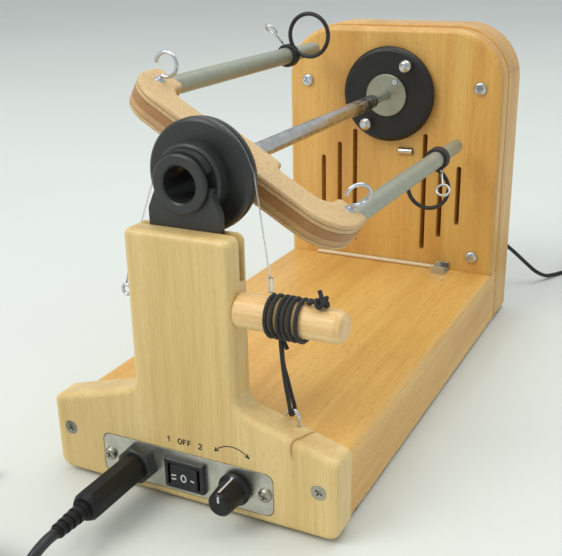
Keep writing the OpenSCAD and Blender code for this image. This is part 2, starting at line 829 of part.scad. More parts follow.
module orifice_sleeve() color(black) {
    at_axis(0, axis_h) difference() {
        turned([[orifice_r + 0.8, ring_front], [flange_r - 0.7, ring_front], [flange_r, ring_front + 0.7],
                [flange_r, flange_back - 0.5], [flange_r - 0.5, flange_back], [neck_r, flange_back],
                [neck_r, boss_y], [boss_r - 1, boss_y], [boss_r, boss_y + 1], [boss_r, whorl_y],
                [sleeve_r, whorl_y], [sleeve_r, whorl_back], [neck_r, whorl_back],
                [neck_r, bar_y + bar_seat], [orifice_r, bar_y + bar_seat], [orifice_r, ring_front + 0.8]]);
        // the yarn leaves through two side windows in front of the bar
        rotate([0, flyer_tilt, 0]) translate([0, whorl_back + 1.5, 0])
            translate([-5, 0, -2 * neck_r]) cube([10, 9.5, 4 * neck_r]);
    }
}

module flyer_whorl() color(black) {
    at_axis(0, axis_h) turned([
        [sleeve_r + slip, whorl_y], [whorl_r - 1.4, whorl_y], [whorl_r - 0.3, whorl_y + 0.9],
        [whorl_r, groove_y - 1.5], [groove_r, groove_y - 0.5], [groove_r, groove_y + 0.5],
        [whorl_r, groove_y + 1.5], [whorl_r - 0.3, whorl_back - 0.9], [whorl_r - 1.4, whorl_back],
        [sleeve_r + slip, whorl_back]]);
}

function bar_corners() = [
    [bar_half, bar_y, 19], [bar_half, stub_y, 3], [bar_half - stub_w, stub_y, 3],
    [bar_half - stub_w, web_y, 8], [hub_half, web_y, 4], [hub_half, hub_y, 2.5],
    [-hub_half, hub_y, 2.5], [-hub_half, web_y, 4], [-bar_half + stub_w, web_y, 8],
    [-bar_half + stub_w, stub_y, 3], [-bar_half, stub_y, 3], [-bar_half, bar_y, 19]];

module flyer_bar() color(ply) {
    flyer_place() difference() {
        translate([0, 0, -bar_t / 2]) board(bar_corners(), bar_t, 1.6, 1.6);
        bar_y(neck_r + slip, bar_y - over, bar_y + bar_seat + slip);
        bar_y(orifice_r, bar_y, bar_y + bar_seat + 1);
        bar_y(shaft_d / 2 + slip, hub_y - shaft_seat - slip, hub_y + over);
        for (s = [-1, 1]) translate([s * arm_off, 0, 0])
            bar_y(arm_d / 2 + slip, stub_y - arm_seat - slip, stub_y + over);
        for (h = hook_plan) translate([h[0] * hook_d, h[1], hook_root - slip])
            cylinder(r = hook_wire / 2 + slip, h = bar_t);
    }
}

module arm_tubes() color(alu) {
    for (s = [-1, 1]) on_arm(s) difference() {
        bar_y(arm_d / 2, stub_y - arm_seat, arm_end_y);
        bar_y(arm_d / 2 - 1, stub_y - arm_seat - over, arm_end_y - 12);
        bar_y(arm_tip_d / 2 - 1.5 + slip, arm_end_y - 13, arm_end_y + over);
    }
}

module arm_ends() color(alu) {
    for (s = [-1, 1]) on_arm(s) {
        bar_y(arm_tip_d / 2 - 1.5, arm_end_y - 12, arm_end_y);
        turned([[0, arm_end_y], [arm_tip_d / 2, arm_end_y], [arm_tip_d / 2, arm_tip_y - 1.4],
                [arm_tip_d / 2 - 1.4, arm_tip_y], [0, arm_tip_y]]);
    }
}

module flyer_hooks() color(zinc) {
    r = hook_wire / 2;
    for (h = hook_plan) flyer_place() translate([h[0] * hook_d, h[1], bar_t / 2]) rotate(h[2]) {
        translate([0, 0, hook_root - bar_t / 2]) cylinder(r = r, h = bar_t / 2 - hook_root + hook_stem);
        cylinder(r1 = 2.6, r2 = 1.6, h = 1);
        translate([0, 0, hook_stem + hook_r]) rotate([90, 0, 0]) {
            rotate(-90) rotate_extrude(angle = 285) translate([hook_r, 0]) circle(r);
            rotate(195) translate([hook_r, 0, 0]) sphere(r);
        }
    }
}

module flyer_shaft() color(steel) {
    at_axis(0, axis_h) turned([
        [0, hub_y - shaft_seat], [shaft_d / 2, hub_y - shaft_seat], [shaft_d / 2, shaft_step_y],
        [shaft_tip_d / 2, shaft_step_y + 2.5], [shaft_tip_d / 2, tip_end - 1],
        [shaft_tip_d / 2 - 1, tip_end], [0, tip_end]]);
}

// ---- sliding guides ----

// A collar that slides on the arm, with its finger ring set in the collar's wall
module guide(side, angle) on_arm(side) {
    difference() {
        union() {
            turned([[0, collar_y + 0.6], [collar_r - 0.6, collar_y], [collar_r, collar_y + 0.6],
                    [collar_r, collar_y + collar_l - 0.6], [collar_r - 0.6, collar_y + collar_l],
                    [0, collar_y + collar_l]]);
            rotate([0, -angle, 0]) translate([ring_reach, collar_y + collar_l / 2, 0]) rotate([90, 0, 0])
                rotate_extrude($fn = 72) translate([ring_r, 0]) circle(d = ring_wire, $fn = 24);
        }
        bar_y(arm_d / 2 + slip, collar_y - over, collar_y + collar_l + over);
        rotate([0, -eyelet_angle[side < 0 ? 0 : 1], 0]) translate([0, collar_y + 2, 0]) rotate([0, 90, 0])
            cylinder(d = eyelet_wire + 2 * slip, h = 2 * collar_r);
    }
}

module guide_left() color(black) guide(-1, ring_angle[0]);
module guide_right() color(black) guide(1, ring_angle[1]);

// The wire eyelet stands out of the collar and leans to the front
module eyelet(side, angle) on_arm(side) rotate([0, -angle, 0]) {
    start = arm_d / 2 + slip * 2;
    bend = collar_r + 1.2;
    lean = atan2(eyelet_lead, eyelet_reach - bend);
    translate([start, collar_y + 2, 0]) rotate([0, 90, 0]) cylinder(d = eyelet_wire, h = bend - start);
    translate([bend, collar_y + 2, 0]) {
        sphere(d = eyelet_wire);
        rotate([0, 0, -lean]) {
            rotate([0, 90, 0]) cylinder(d = eyelet_wire, h = norm([eyelet_lead, eyelet_reach - bend]) - eyelet_r);
            translate([norm([eyelet_lead, eyelet_reach - bend]), 0, 0]) rotate([60, 0, 0])
                rotate_extrude() translate([eyelet_r, 0]) circle(d = eyelet_wire, $fn = 24);
        }
    }
}

module eyelet_left() color(zinc) eyelet(-1, eyelet_angle[0]);
module eyelet_right() color(zinc) eyelet(1, eyelet_angle[1]);

// ---- drive ----

module at_pins() for (a = [pin_angle, pin_angle + 180])
    translate([pin_off * cos(a), 0, axis_h + pin_off * sin(a)]) children();

module drive_disc() color(black) {
    difference() {
        at_axis(0, axis_h) turned([
            [hub_core_r + slip, disc_y], [disc_r - 2.6, disc_y], [disc_r - 1, disc_y + 0.7], [disc_r, disc_y + 2.4],
            [disc_r, disc_y + disc_t - 1], [disc_r - 1, disc_y + disc_t], [hub_core_r + slip, disc_y + disc_t]]);
        at_pins() bar_y(pin_shank_r + slip, disc_y - over, disc_y + disc_t + over);
    }
}

module drive_hub() color(steel) {
    at_axis(0, axis_h) difference() {
        turned([[0, hub_front], [hub_r - 0.4, hub_front], [hub_r, hub_front + 0.4], [hub_r, disc_y],
                [hub_core_r, disc_y], [hub_core_r, hub_back], [0, hub_back]]);
        bar_y(shaft_tip_d / 2 + 2 * slip, hub_front - over, tip_end + air);
        bar_y(drive_d / 2 + slip, drive_front - slip, hub_back + over);
        at_set_screw() bar_y(1.5 + slip, hub_front - over, hub_front + 1.6);
    }
}

module at_set_screw() rotate([0, -pin_angle, 0]) translate([10.4, 0, 0]) children();

module hub_set_screw() color(zinc) {
    at_axis(0, axis_h) at_set_screw() difference() {
        bar_y(1.5, hub_front - 0.7, hub_front + 1.5);
        translate([0, hub_front - over, 0]) rotate([-90, 0, 0]) cylinder(r = 0.8, h = 1.6, $fn = 6);
    }
}

// A pin's shoulder sits on the disc's face, and its shank goes through the disc
module drive_pins() color(steel) {
    r = pin_d / 2;
    at_pins() translate([0, disc_y, 0]) rotate([90, 0, 0]) {
        rotate_extrude() outline([[0, 0, 0], [r, 0, 0], [r, pin_reach, r * 0.7], [0, pin_reach, 0]]);
        translate([0, 0, -disc_t]) cylinder(r = pin_shank_r, h = disc_t);
    }
}

module drive_shaft() color(steel) {
    at_axis(0, axis_h) bar_y(drive_d / 2, drive_front, pulley_y + pulley_w);
}

module drive_bearings() color(steel) {
    for (y = [panel_y, housing_y - bearing_t]) at_axis(0, axis_h) difference() {
        turned([[drive_d / 2 + slip, y + 0.2], [bearing_d / 2 - 0.3, y + 0.2], [bearing_d / 2, y + 0.5],
                [bearing_d / 2, y + bearing_t - 0.5], [bearing_d / 2 - 0.3, y + bearing_t - 0.2],
                [drive_d / 2 + slip, y + bearing_t - 0.2]]);
        for (f = [y - 1, y + bearing_t - 0.5]) difference() {
            bar_y(bearing_d / 2 - 1.2, f, f + 1.5);
            bar_y(drive_d / 2 + 1.2, f - 1, f + 3);
        }
    }
}

// A flanged belt pulley on a shaft, its track r from the axis
module pulley(r, shaft) difference() {
    turned([[shaft, pulley_y], [r + flange_h, pulley_y], [r + flange_h, pulley_y + flange_t - 0.4],
            [r, pulley_y + flange_t], [r, pulley_y + pulley_w - flange_t],
            [r + flange_h, pulley_y + pulley_w - flange_t + 0.4], [r + flange_h, pulley_y + pulley_w],
            [shaft, pulley_y + pulley_w]]);
}

module driven_pulley() color(black) {
    at_axis(0, axis_h) difference() {
        pulley(driven_r, drive_d / 2 + slip);
        // lightening holes
        for (a = [0 : 72 : 288]) rotate([0, a, 0]) translate([driven_r * 0.62, 0, 0])
            bar_y(driven_r * 0.17, pulley_y - over, pulley_y + pulley_w + over);
    }
}

module motor_pulley() color(alu) at_axis(0, motor_h) pulley(motor_pulley_r, motor_shaft_r + slip);

// Both pulleys' circles with the straight runs between them
module belt_shape(grow) {
    span = axis_h - motor_h;
    big = driven_r + grow;
    small = motor_pulley_r + grow;
    lean = asin((big - small) / span);
    side = [cos(lean), -sin(lean)];
    other = [-cos(lean), -sin(lean)];
    translate([0, axis_h]) circle(r = big, $fn = 96);
    translate([0, motor_h]) circle(r = small);
    polygon([[0, axis_h] + big * side, [0, axis_h] + big * other,
             [0, motor_h] + small * other, [0, motor_h] + small * side]);
}

module drive_belt() color(black) {
    y = pulley_y + (pulley_w - belt_w) / 2;
    facing_front(y + belt_w) linear_extrude(belt_w) difference() {
        belt_shape(air + belt_t);
        belt_shape(air);
    }
}

module mount_screw_places() for (x = [-1, 1], z = [-1, 1])
    at_axis(x * (mount_w / 2 - 3.4), motor_h + z * (mount_w / 2 - 3.4)) children();

module motor_mount() color(alu) {
    w = mount_w / 2;
    difference() {
        at_axis(0, motor_h) facing_front(housing_y + mount_t) linear_extrude(mount_t)
            outline([[-w, -w, 3], [w, -w, 3], [w, w, 3], [-w, w, 3]]);
        at_axis(0, motor_h) bar_y(4, housing_y - over, housing_y + mount_t + over);
        mount_screw_places() bar_y(pilot_r + slip, housing_y - over, housing_y + mount_t + over);
    }
    mount_screw_places() translate([0, housing_y + mount_t, 0]) rotate([90, 0, 0])
        pan_screw(2.4, 1.2, pilot_r - slip, mount_t + 7, 0.6);
}

module motor_stator() color(steel) {
    y = housing_y + mount_t;
    at_axis(0, motor_h) difference() {
        turned([[0, y], [motor_d / 2 - 1, y], [motor_d / 2 - 1, y + 2.4], [motor_d * 0.38, y + 2.4],
                [motor_d * 0.38, y + motor_t - stator_t], [0, y + motor_t - stator_t]]);
        bar_y(motor_shaft_r + slip, y + 1, y + motor_t);
        for (a = [0 : 30 : 330]) rotate([0, a, 0]) translate([motor_d * 0.38, 0, 0])
            bar_y(1.7, y + 2.4, y + motor_t);
    }
}

module motor_bell() color(steel) {
    y = housing_y + mount_t;
    at_axis(0, motor_h) {
        difference() {
            turned([[0, y + motor_t - stator_t + air], [motor_d * 0.38 + 1, y + motor_t - stator_t + air],
                    [motor_d * 0.38 + 1, y + 2.8], [motor_d / 2, y + 2.8], [motor_d / 2, y + motor_t - 1],
                    [motor_d / 2 - 1, y + motor_t], [0, y + motor_t]]);
            for (a = [0 : 60 : 300]) rotate([0, a, 0]) translate([motor_d * 0.24, 0, 0])
                bar_y(2.4, y, y + motor_t + over);
        }
        bar_y(motor_shaft_r, y + 2, pulley_y + pulley_w - 0.5);
    }
}

// ---- tension peg and its cord ----

module tension_peg() color(honey) {
    tip = peg_d / 2 - peg_taper / 2;
    translate([post_half, peg_y, peg_h]) rotate([0, 90, 0]) rotate_extrude()
        polygon([[0, -tenon_l], [tenon_d / 2 - 0.6, -tenon_l], [tenon_d / 2, -tenon_l + 0.6],
                 [tenon_d / 2, slip], [peg_d / 2 - 0.8, slip], [peg_d / 2, 1],
                 [tip, peg_out - 3.2], [tip - 1, peg_out - 1], [tip - 2.6, peg_out], [0, peg_out]]);
}

// The turns stand at wind_x, evenly drawn on from one to the next, and the last run
// goes along the top of the peg to the knot
function wind_at(u) = let (i = min(floor(u), len(wind_x) - 2), f = u - i) wind_x[i] * (1 - f) + wind_x[i + 1] * f;
function wind_turns() = len(wind_x) - 1;
function wind_points() = concat(
    [[wind_x[0], peg_y + 1.8, peg_h + wind_r - 0.1]],
    [for (k = [1 : wind_turns() * wind_rings])
        let (u = k / wind_rings, a = 90 + 360 * u)
        [wind_at(u), peg_y + wind_r * cos(a), peg_h + wind_r * sin(a)]],
    [[wind_x[wind_turns()] + 1.4, peg_y - 1.3, peg_h + wind_r],
     [knot_x - 3.6, knot_y, peg_h + knot_r],
     [knot_x - 2, knot_y, peg_h + knot_r]]);
wind_gap = least_gap([for (k = [1 : wind_turns() * wind_rings]) wind_points()[k]], cord_d, wind_rings / 2);

module peg_winding() color(black) {
    echo(str("least gap between turns on the peg, mm: ", wind_gap));
    swept(wind_points(), cord_d / 2, 6, [1, 0.02, 0.01]);
}

// An overhand knot on top of the peg, with its two short tails
module cord_knot() color(black) {
    r = cord_d / 2;
    translate([knot_x, knot_y, peg_h + knot_r]) {
        rotate([0, 90, 0]) rotate_extrude() translate([1.1, 0]) circle(r, $fn = 20);
        translate([1.5, 0, 0.3]) rotate([40, 60, 0]) rotate_extrude() translate([1.1, 0]) circle(r, $fn = 20);
        translate([1, 0, 1]) rotate([-30, 55, 0]) cylinder(r = r * 0.9, h = 4.2);
        translate([-0.5, 0, 1]) rotate([-25, -10, 0]) cylinder(r = r * 0.9, h = 3.4);
        translate([-2, 0, 0]) rotate([0, 90, 0]) cylinder(r = r, h = 3);
    }
}

// The brake line lies over the whorl and runs down to the anchor and the peg
function on_groove(a, past) = [line_r * cos(a) - past * sin(a), groove_y, axis_h + line_r * sin(a) + past * cos(a)];
function line_points() = concat(line_left, [on_groove(line_ends[0], line_lead)],
    [for (a = [line_ends[0] : -7.5 : line_ends[1]]) on_groove(a, 0)],
    [on_groove(line_ends[1], -line_lead)], line_right);

// A short clear tube joins the line's end to the cord
module brake_line() color(nylon) {
    end = line_right[len(line_right) - 1];
    swept(line_points(), line_d / 2, 8, [0, 1, 0.05]);
    translate([end[0], end[1], peg_h + wind_r + cord_d / 2 + air]) cylinder(r = 1.2, h = 6);
}

// Screw eye in the left side of the post
module line_anchor() color(zinc) {
    x = -post_half;
    translate([x - 3, peg_y, anchor_z]) rotate([0, 90, 0]) cylinder(d = hook_wire, h = anchor_l + 3 - slip);
    translate([x - 3 - 2.2, peg_y, anchor_z]) rotate([90, 0, 0])
        rotate_extrude() translate([2.2, 0]) circle(d = hook_wire - 0.3, $fn = 24);
}

// A loop of the cord hangs from the peg into the screw hook, tied once below the peg
module tension_strands() color(black) {
    swept(smooth(strand_points, 3), cord_d / 2, 8, [1, 0.03, 0.1]);
    translate([44.6, 7.9, 80]) rotate([0, 40, 0]) cylinder(d = cord_d * 0.9, h = 3.4);
}

// A bent wire: its shank is screwed into the foot and its arch holds the cord's loop down
module screw_hook() color(zinc) {
    arch = 3;
    top = hook_z + 4;
    bent = [for (a = [0 : 15 : 195]) [hook_x - arch + arch * cos(a), hook_y, top + arch * sin(a)]];
    swept(concat([[hook_x, hook_y, hook_z - hook_seat + slip]], bent), hook_wire / 2, 12, [0, 1, 0]);
}

// ---- small things on the base and the panel ----

// The threading hook lies on the base along the panel, held by a small clip
module threading_hook() color([0.86, 0.78, 0.62]) {
    y = panel_y - hook_rod_r - air;
    z = base_top + hook_rod_r;
    translate([rod_x[0], y, z]) rotate([0, 90, 0]) cylinder(r = hook_rod_r, h = rod_x[1] - rod_x[0]);
    translate([rod_x[0], y, z]) sphere(hook_rod_r);
}

// A bent strip of metal beside the panel that the rod's end sits against
module hook_clip() color(zinc) {
    l = 9;
    d = 11;
    h = 5;
    wall = 0.8;
    translate([rod_x[1], panel_y - d - air, base_top]) difference() {
        cube([l, d, h]);
        translate([-over, wall, wall]) cube([l + 2 * over, d - 2 * wall, h]);
    }
}

module pin_seat(grow) translate([-pin_l / 2 - grow, -pin_r * 0.2, 0]) rotate([0, 90, 0])
    cylinder(r = pin_r + grow, h = pin_l + 2 * grow);

module panel_pin() color(steel) {
    translate([pin_x, panel_y, pin_z]) difference() {
        pin_seat(0);
        translate([pin_l / 2 - 3, -pin_r * 0.2, 0]) rotate([0, 90, 0]) cylinder(r = pin_r * 0.55, h = 4);
    }
}

// ---- leads ----

// A coil in layers that spirals in and out, and runs down beside itself at the end.
// It starts at [0, 0] heading along +Y, with its middle at -side in X.
function coil_reach(d, per, mid) = mid + (d + coil_gap) * per / 2;
function rise(t) = let (s = min(max(t, 0), 1)) s * s * (3 - 2 * s);
function fold(u, per) = let (k = floor(u / per), f = u / per - k) k % 2 == 0 ? f : 1 - f;
function climbed(u, per, layers) = sum([for (k = [1 : layers - 1]) rise((u - k * per) * 2 + 0.5)]);
function sum(v, i = 0) = i >= len(v) ? 0 : v[i] + sum(v, i + 1);
function coil_point(u, d, per, layers, mid, end_z) =
    let (step = d + coil_gap,
         out = coil_reach(d, per, mid),
         turns = per * layers,
         past = max(u - turns, 0),
         down = rise((past - 0.12) / 0.38),
         r = out - step * per * fold(min(u, turns - 0.0001), per) + step * 1.1 * rise(past / 0.18),
         z = (d / 2 + step * climbed(min(u, turns), per, layers)) * (1 - down) + end_z * down,
         a = 360 * u)
    [out - r * cos(a), r * sin(a), z];
function coil_points(d, per, layers, mid, end_z) =
    let (last = per * layers + 0.5,
         end = coil_point(last, d, per, layers, mid, end_z))
    concat([[0, -d, d / 2]],
           [for (k = [0 : round(last * coil_rings)]) coil_point(k / coil_rings, d, per, layers, mid, end_z)],
           [end - [0, d, 0]]);
function placed_points(p, at, turn_z) = [for (q = p)
    [at[0] + q[0] * cos(turn_z) - q[1] * sin(turn_z), at[1] + q[0] * sin(turn_z) + q[1] * cos(turn_z), q[2]]];

module pedal_cord() color(black) swept(smooth(pedal_route, 2), pedal_cord_d / 2, 10, [0.1, 0.1, 1]);
module power_cord() color(black) swept(smooth(power_route, 2), power_cord_d / 2, 8, [0.1, -0.1, 1]);

function pedal_coil_points() = placed_points(
    coil_points(pedal_cord_d, pedal_per, pedal_layers, pedal_mid, barrel_flat / 2), pedal_at, pedal_turn);
function power_coil_points() = placed_points(
    coil_points(power_cord_d, power_per, power_layers, power_mid, adapter_exit), power_at, power_turn);

// A coil's own points, without the straight ends, are those its gap is measured on
module coil(name, p, d) {
    echo(str("least gap in the coil of the ", name, ", mm: ", least_gap(p, d, coil_rings / 2)));
    swept(p, d / 2, 6, [0.01, 0.02, 1]);
}

module pedal_coil() color(black) coil("pedal lead", pedal_coil_points(), pedal_cord_d);
module power_coil() color(black) coil("power lead", power_coil_points(), power_cord_d);

// Stands a piece on a coil's last point, with +Y back along the cord
module at_tail(p, turn_z) translate(p[len(p) - 1]) rotate(turn_z) children();

// A tapered strain relief with grooves, from y = -from down to -from - l
module relief(d, from, l, r) {
    n = 5;
    pitch = l / n;
    end_r = d / 2 + 0.9;
    turned(concat([[0, -from]],
        [for (k = [0 : n - 1]) let (w = r + (end_r - r) * k / (n - 1))
            each [[w, -from - k * pitch], [w, -from - (k + 0.6) * pitch],
                  [w - 0.6, -from - (k + 0.6) * pitch], [w - 0.6, -from - (k + 1) * pitch]]],
        [[0, -from - l]]));
}

// An eight-sided jack plug: its barrel and strain relief run to -Y, its contact to +Y
module jack(d) {
    flats = barrel_flat / cos(22.5) / 2;
    contact = jack_bore - 0.1;
    contact_l = 26;
    intersection() {
        rotate([90, 22.5, 0]) cylinder(r = flats, h = barrel_l, $fn = 8);
        turned([[0, over], [flats - 1.8, over], [flats + 0.2, -1], [flats + 0.2, -barrel_l + 3.5],
                [flats - 1.8, -barrel_l - 0.4], [0, -barrel_l - 0.4]]);
    }
    turned([[0, -over], [contact, -over], [contact, contact_l - 6], [contact - 1.2, contact_l - 5],
            [contact - 0.6, contact_l - 3], [0.8, contact_l], [0, contact_l]]);
    relief(d, barrel_l, relief_l, 4);
}

module pedal_plug() color(black) translate([jack_x, plug_y, jack_z]) jack(pedal_cord_d);

module pedal_connector() color(black) at_tail(pedal_coil_points(), pedal_turn)
    translate([0, -barrel_l - relief_l, 0]) mirror([0, 1, 0]) jack(pedal_cord_d);

module power_plug() color(black) {
    grip_l = 13;
    translate([inlet_x, body_len, inlet_z]) mirror([0, 1, 0]) {
        turned([[0, 0], [4.4, 0], [4.8, -0.6], [4.8, -grip_l + 1.5], [4, -grip_l], [0, -grip_l]]);
        relief(power_cord_d, grip_l, power_relief_l, 3);
        difference() {
            bar_y(inlet_bore - 0.1, -over, 8.5);
            bar_y(1.05, 0, 9.5);
        }
    }
}

// A small plug-in mains adapter with two round pins
module power_adapter() color(black) at_tail(power_coil_points(), power_turn) {
    l = 52;
    w = 14;
    h = 26;
    translate([0, -adapter_lead, -adapter_exit]) {
        facing_front(0) board([[-w, 0, 4], [w, 0, 4], [w, h, 4], [-w, h, 4]], l, 2, 2);
        for (x = [-9.5, 9.5]) translate([x, 0, h / 2]) bar_y(2, -l - 18, -l + over);
    }
    translate([0, -adapter_lead, 0]) mirror([0, 1, 0]) translate([0, over, 0])
        relief(power_cord_d, over, adapter_lead, 3);
}

module placed() translate([0, -mid_y, 0]) children();

placed() front_upright();
placed() base_block();
placed() rear_housing();
placed() rear_panel();
placed() bottom_cover();
placed() rubber_feet();
placed() case_screws();
placed() panel_screws();
placed() control_plate();
placed() jack_socket();
placed() jack_nut();
placed() rocker_body();
placed() rocker_paddle();
placed() speed_pot();
placed() pot_shaft();
placed() speed_knob();
placed() circuit_board();
placed() dc_inlet();
placed() bearing_bracket();
placed() orifice_sleeve();
placed() flyer_whorl();
placed() flyer_bar();
placed() arm_tubes();
placed() arm_ends();
placed() flyer_hooks();
placed() flyer_shaft();
placed() guide_left();
placed() guide_right();
placed() eyelet_left();
placed() eyelet_right();
placed() drive_disc();
placed() drive_hub();
placed() drive_pins();
placed() hub_set_screw();
placed() drive_shaft();
placed() drive_bearings();
placed() driven_pulley();
placed() drive_belt();
placed() motor_mount();
placed() motor_stator();
placed() motor_bell();
placed() motor_pulley();
placed() tension_peg();
placed() peg_winding();
placed() cord_knot();
placed() brake_line();
placed() line_anchor();
placed() tension_strands();
placed() screw_hook();
placed() threading_hook();
placed() hook_clip();
placed() panel_pin();
placed() pedal_cord();
placed() pedal_coil();
placed() pedal_plug();
placed() pedal_connector();
placed() power_cord();
placed() power_coil();
placed() power_plug();
placed() power_adapter();
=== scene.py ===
import math

import bpy
from mathutils import Matrix, Vector


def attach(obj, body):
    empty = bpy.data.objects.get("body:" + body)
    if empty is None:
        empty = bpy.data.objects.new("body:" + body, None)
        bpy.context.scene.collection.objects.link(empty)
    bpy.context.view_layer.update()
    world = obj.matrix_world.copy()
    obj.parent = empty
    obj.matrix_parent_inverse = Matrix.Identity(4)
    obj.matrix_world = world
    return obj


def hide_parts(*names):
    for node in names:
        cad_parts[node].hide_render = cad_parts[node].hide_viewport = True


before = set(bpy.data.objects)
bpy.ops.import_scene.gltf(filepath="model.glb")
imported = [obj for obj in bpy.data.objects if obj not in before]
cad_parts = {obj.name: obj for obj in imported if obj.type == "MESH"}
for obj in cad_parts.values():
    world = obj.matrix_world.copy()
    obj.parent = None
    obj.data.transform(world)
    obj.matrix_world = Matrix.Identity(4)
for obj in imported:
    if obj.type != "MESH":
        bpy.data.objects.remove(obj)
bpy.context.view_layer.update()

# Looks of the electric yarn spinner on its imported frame: camera, cords, printed marks, finishes and studio.
# Points given to at() are in millimetres from the foot of the front upright's face, and at() moves them
# to the frame, whose origin is in the middle of the base.

scene = bpy.context.scene
scene.view_settings.view_transform = "Standard"

MM = 0.001
MIDDLE = Vector((0, 139, 0))
AXIS_H = 148.2  # height of the flyer's axis, in millimetres
FLYER_TILT = math.radians(30)


def at(x, y, z):
    return (Vector((x, y, z)) - MIDDLE) * MM


# ---- camera, at the photograph's angle ----

CAMERA_AT = (0.19853, -0.43069, 0.24036)
CAMERA_YAW, CAMERA_PITCH, CAMERA_ROLL = 27.14, -20.49, -1.17
CAMERA_LENS = 58.06
CAMERA_SENSOR = 36


def make_camera():
    data = bpy.data.cameras.new("photo_camera")
    data.sensor_width = CAMERA_SENSOR
    data.lens = CAMERA_LENS
    camera = bpy.data.objects.new("photo_camera", data)
    scene.collection.objects.link(camera)
    camera.matrix_world = (
        Matrix.Translation(CAMERA_AT)
        @ Matrix.Rotation(math.radians(CAMERA_YAW), 4, "Z")
        @ Matrix.Rotation(math.radians(90 + CAMERA_PITCH), 4, "X")
        @ Matrix.Rotation(math.radians(CAMERA_ROLL), 4, "Z")
    )
    scene.camera = camera


make_camera()

# ---- curves ----


def smooth(points, steps):
    """A Catmull-Rom curve through points, with so many steps in each stretch."""
    p = [Vector(q) for q in points]
    out = []
    for i in range(len(p) - 1):
        a, b, c, d = p[max(i - 1, 0)], p[i], p[i + 1], p[min(i + 2, len(p) - 1)]
        for s in range(steps):
            t = s / steps
            bend = (2 * a - 5 * b + 4 * c - d) * t * t
            turn = (3 * b - a - 3 * c + d) * t ** 3
            out.append(0.5 * (2 * b + (c - a) * t + bend + turn))
    return out + [p[-1]]


def rise(t):
    """0 up to t = 0, 1 from t = 1, and smooth between."""
    s = min(max(t, 0.0), 1.0)
    return s * s * (3 - 2 * s)


COIL_GAP = 0.55  # between turns of a coil
COIL_RINGS = 24  # points in each turn
COIL_RUN_DOWN = 0.5  # turns past the last, in which the end runs from the top layer down to its plug
STEP_OUT, STEP_OUT_BY = 0.18, 1.1  # turns in which the end steps outwards, and by how many diameters
DOWN_FROM, DOWN_OVER = 0.12, 0.38  # where in these turns it starts down, and how long that takes


def coil_point(u, d, per, layers, mid, end_z):
    """The centre of a lead of diameter d after u turns of its coil, with per turns in each of its layers."""
    step = d + COIL_GAP
    turns = per * layers
    past = max(u - turns, 0.0)
    down = rise((past - DOWN_FROM) / DOWN_OVER)
    v = min(u, turns - 0.0001) / per
    k = math.floor(v)
    fold = v - k if k % 2 == 0 else 1 - v + k
    climbed = sum(rise((min(u, turns) - j * per) * 2 + 0.5) for j in range(1, layers))
    reach = mid + step * per / 2
    r = reach - step * per * fold + step * STEP_OUT_BY * rise(past / STEP_OUT)
    z = (d / 2 + step * climbed) * (1 - down) + end_z * down
    a = 2 * math.pi * u
    return Vector((reach - r * math.cos(a), r * math.sin(a), z))


def coil_points(d, per, layers, mid, end_z, where, turn):
    """A coil's centreline: it spirals in and out, layer on layer, and runs down beside itself."""
    last = per * layers + COIL_RUN_DOWN
    end = coil_point(last, d, per, layers, mid, end_z)
    local = [Vector((0, -d, d / 2))]
    for k in range(round(last * COIL_RINGS) + 1):
        local.append(coil_point(k / COIL_RINGS, d, per, layers, mid, end_z))
    local.append(end - Vector((0, d, 0)))
    spin = Matrix.Rotation(math.radians(turn), 3, "Z")
    return [Vector((*where, 0)) + spin @ q for q in local]


def curve_piece(name, points, diameter, body, sides=5):
    """A round cord along points in millimetres: a curve of one open spline."""
    curve = bpy.data.curves.new(name, "CURVE")
    curve.dimensions = "3D"
    spline = curve.splines.new("POLY")
    spline.points.add(len(points) - 1)
    # The radius is kept in the points, because the curve's box grows by it
    for target, q in zip(spline.points, points):
        target.co = (*at(*q), 1)
        target.radius = diameter / 2 * MM
    curve.bevel_depth = 1.0
    curve.bevel_resolution = sides
    curve.use_fill_caps = True
    piece = bpy.data.objects.new(name, curve)
    scene.collection.objects.link(piece)
    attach(piece, body)
    return piece


def mesh_piece(name, verts, faces, body, shade=True):
    """A mesh from points in millimetres."""
    mesh = bpy.data.meshes.new(name)
    mesh.from_pydata([at(*v) for v in verts], [], faces)
    mesh.update()
    if shade:
        mesh.polygons.foreach_set("use_smooth", [True] * len(mesh.polygons))
    piece = bpy.data.objects.new(name, mesh)
    scene.collection.objects.link(piece)
    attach(piece, body)
    return piece


def turn_of(sides):
    """The cosine and sine of each corner of a ring."""
    angles = [2 * math.pi * k / sides for k in range(sides)]
    return [(math.cos(a), math.sin(a)) for a in angles]


def rings(points, radius, sides):
    """The rings of a tube along points, each turned as little as possible from the one before."""
    p = [Vector(q) for q in points]
    heads = [(p[min(i + 1, len(p) - 1)] - p[max(i - 1, 0)]).normalized() for i in range(len(p))]
    side = heads[0].orthogonal().normalized()
    out = []
    for q, head in zip(p, heads):
        side = (side - head * side.dot(head)).normalized()
        other = head.cross(side)
        out.append([q + radius * (c * side + s * other) for c, s in turn_of(sides)])
    return out


def tube_faces(first, count, sides):
    """Faces of a closed tube of count rings, whose vertices start at first."""
    faces = []
    for i in range(count - 1):
        for k in range(sides):
            a, b = first + i * sides + k, first + i * sides + (k + 1) % sides
            faces.append((a, b, b + sides, a + sides))
    faces.append(tuple(first + k for k in range(sides - 1, -1, -1)))
    faces.append(tuple(first + (count - 1) * sides + k for k in range(sides)))
    return faces


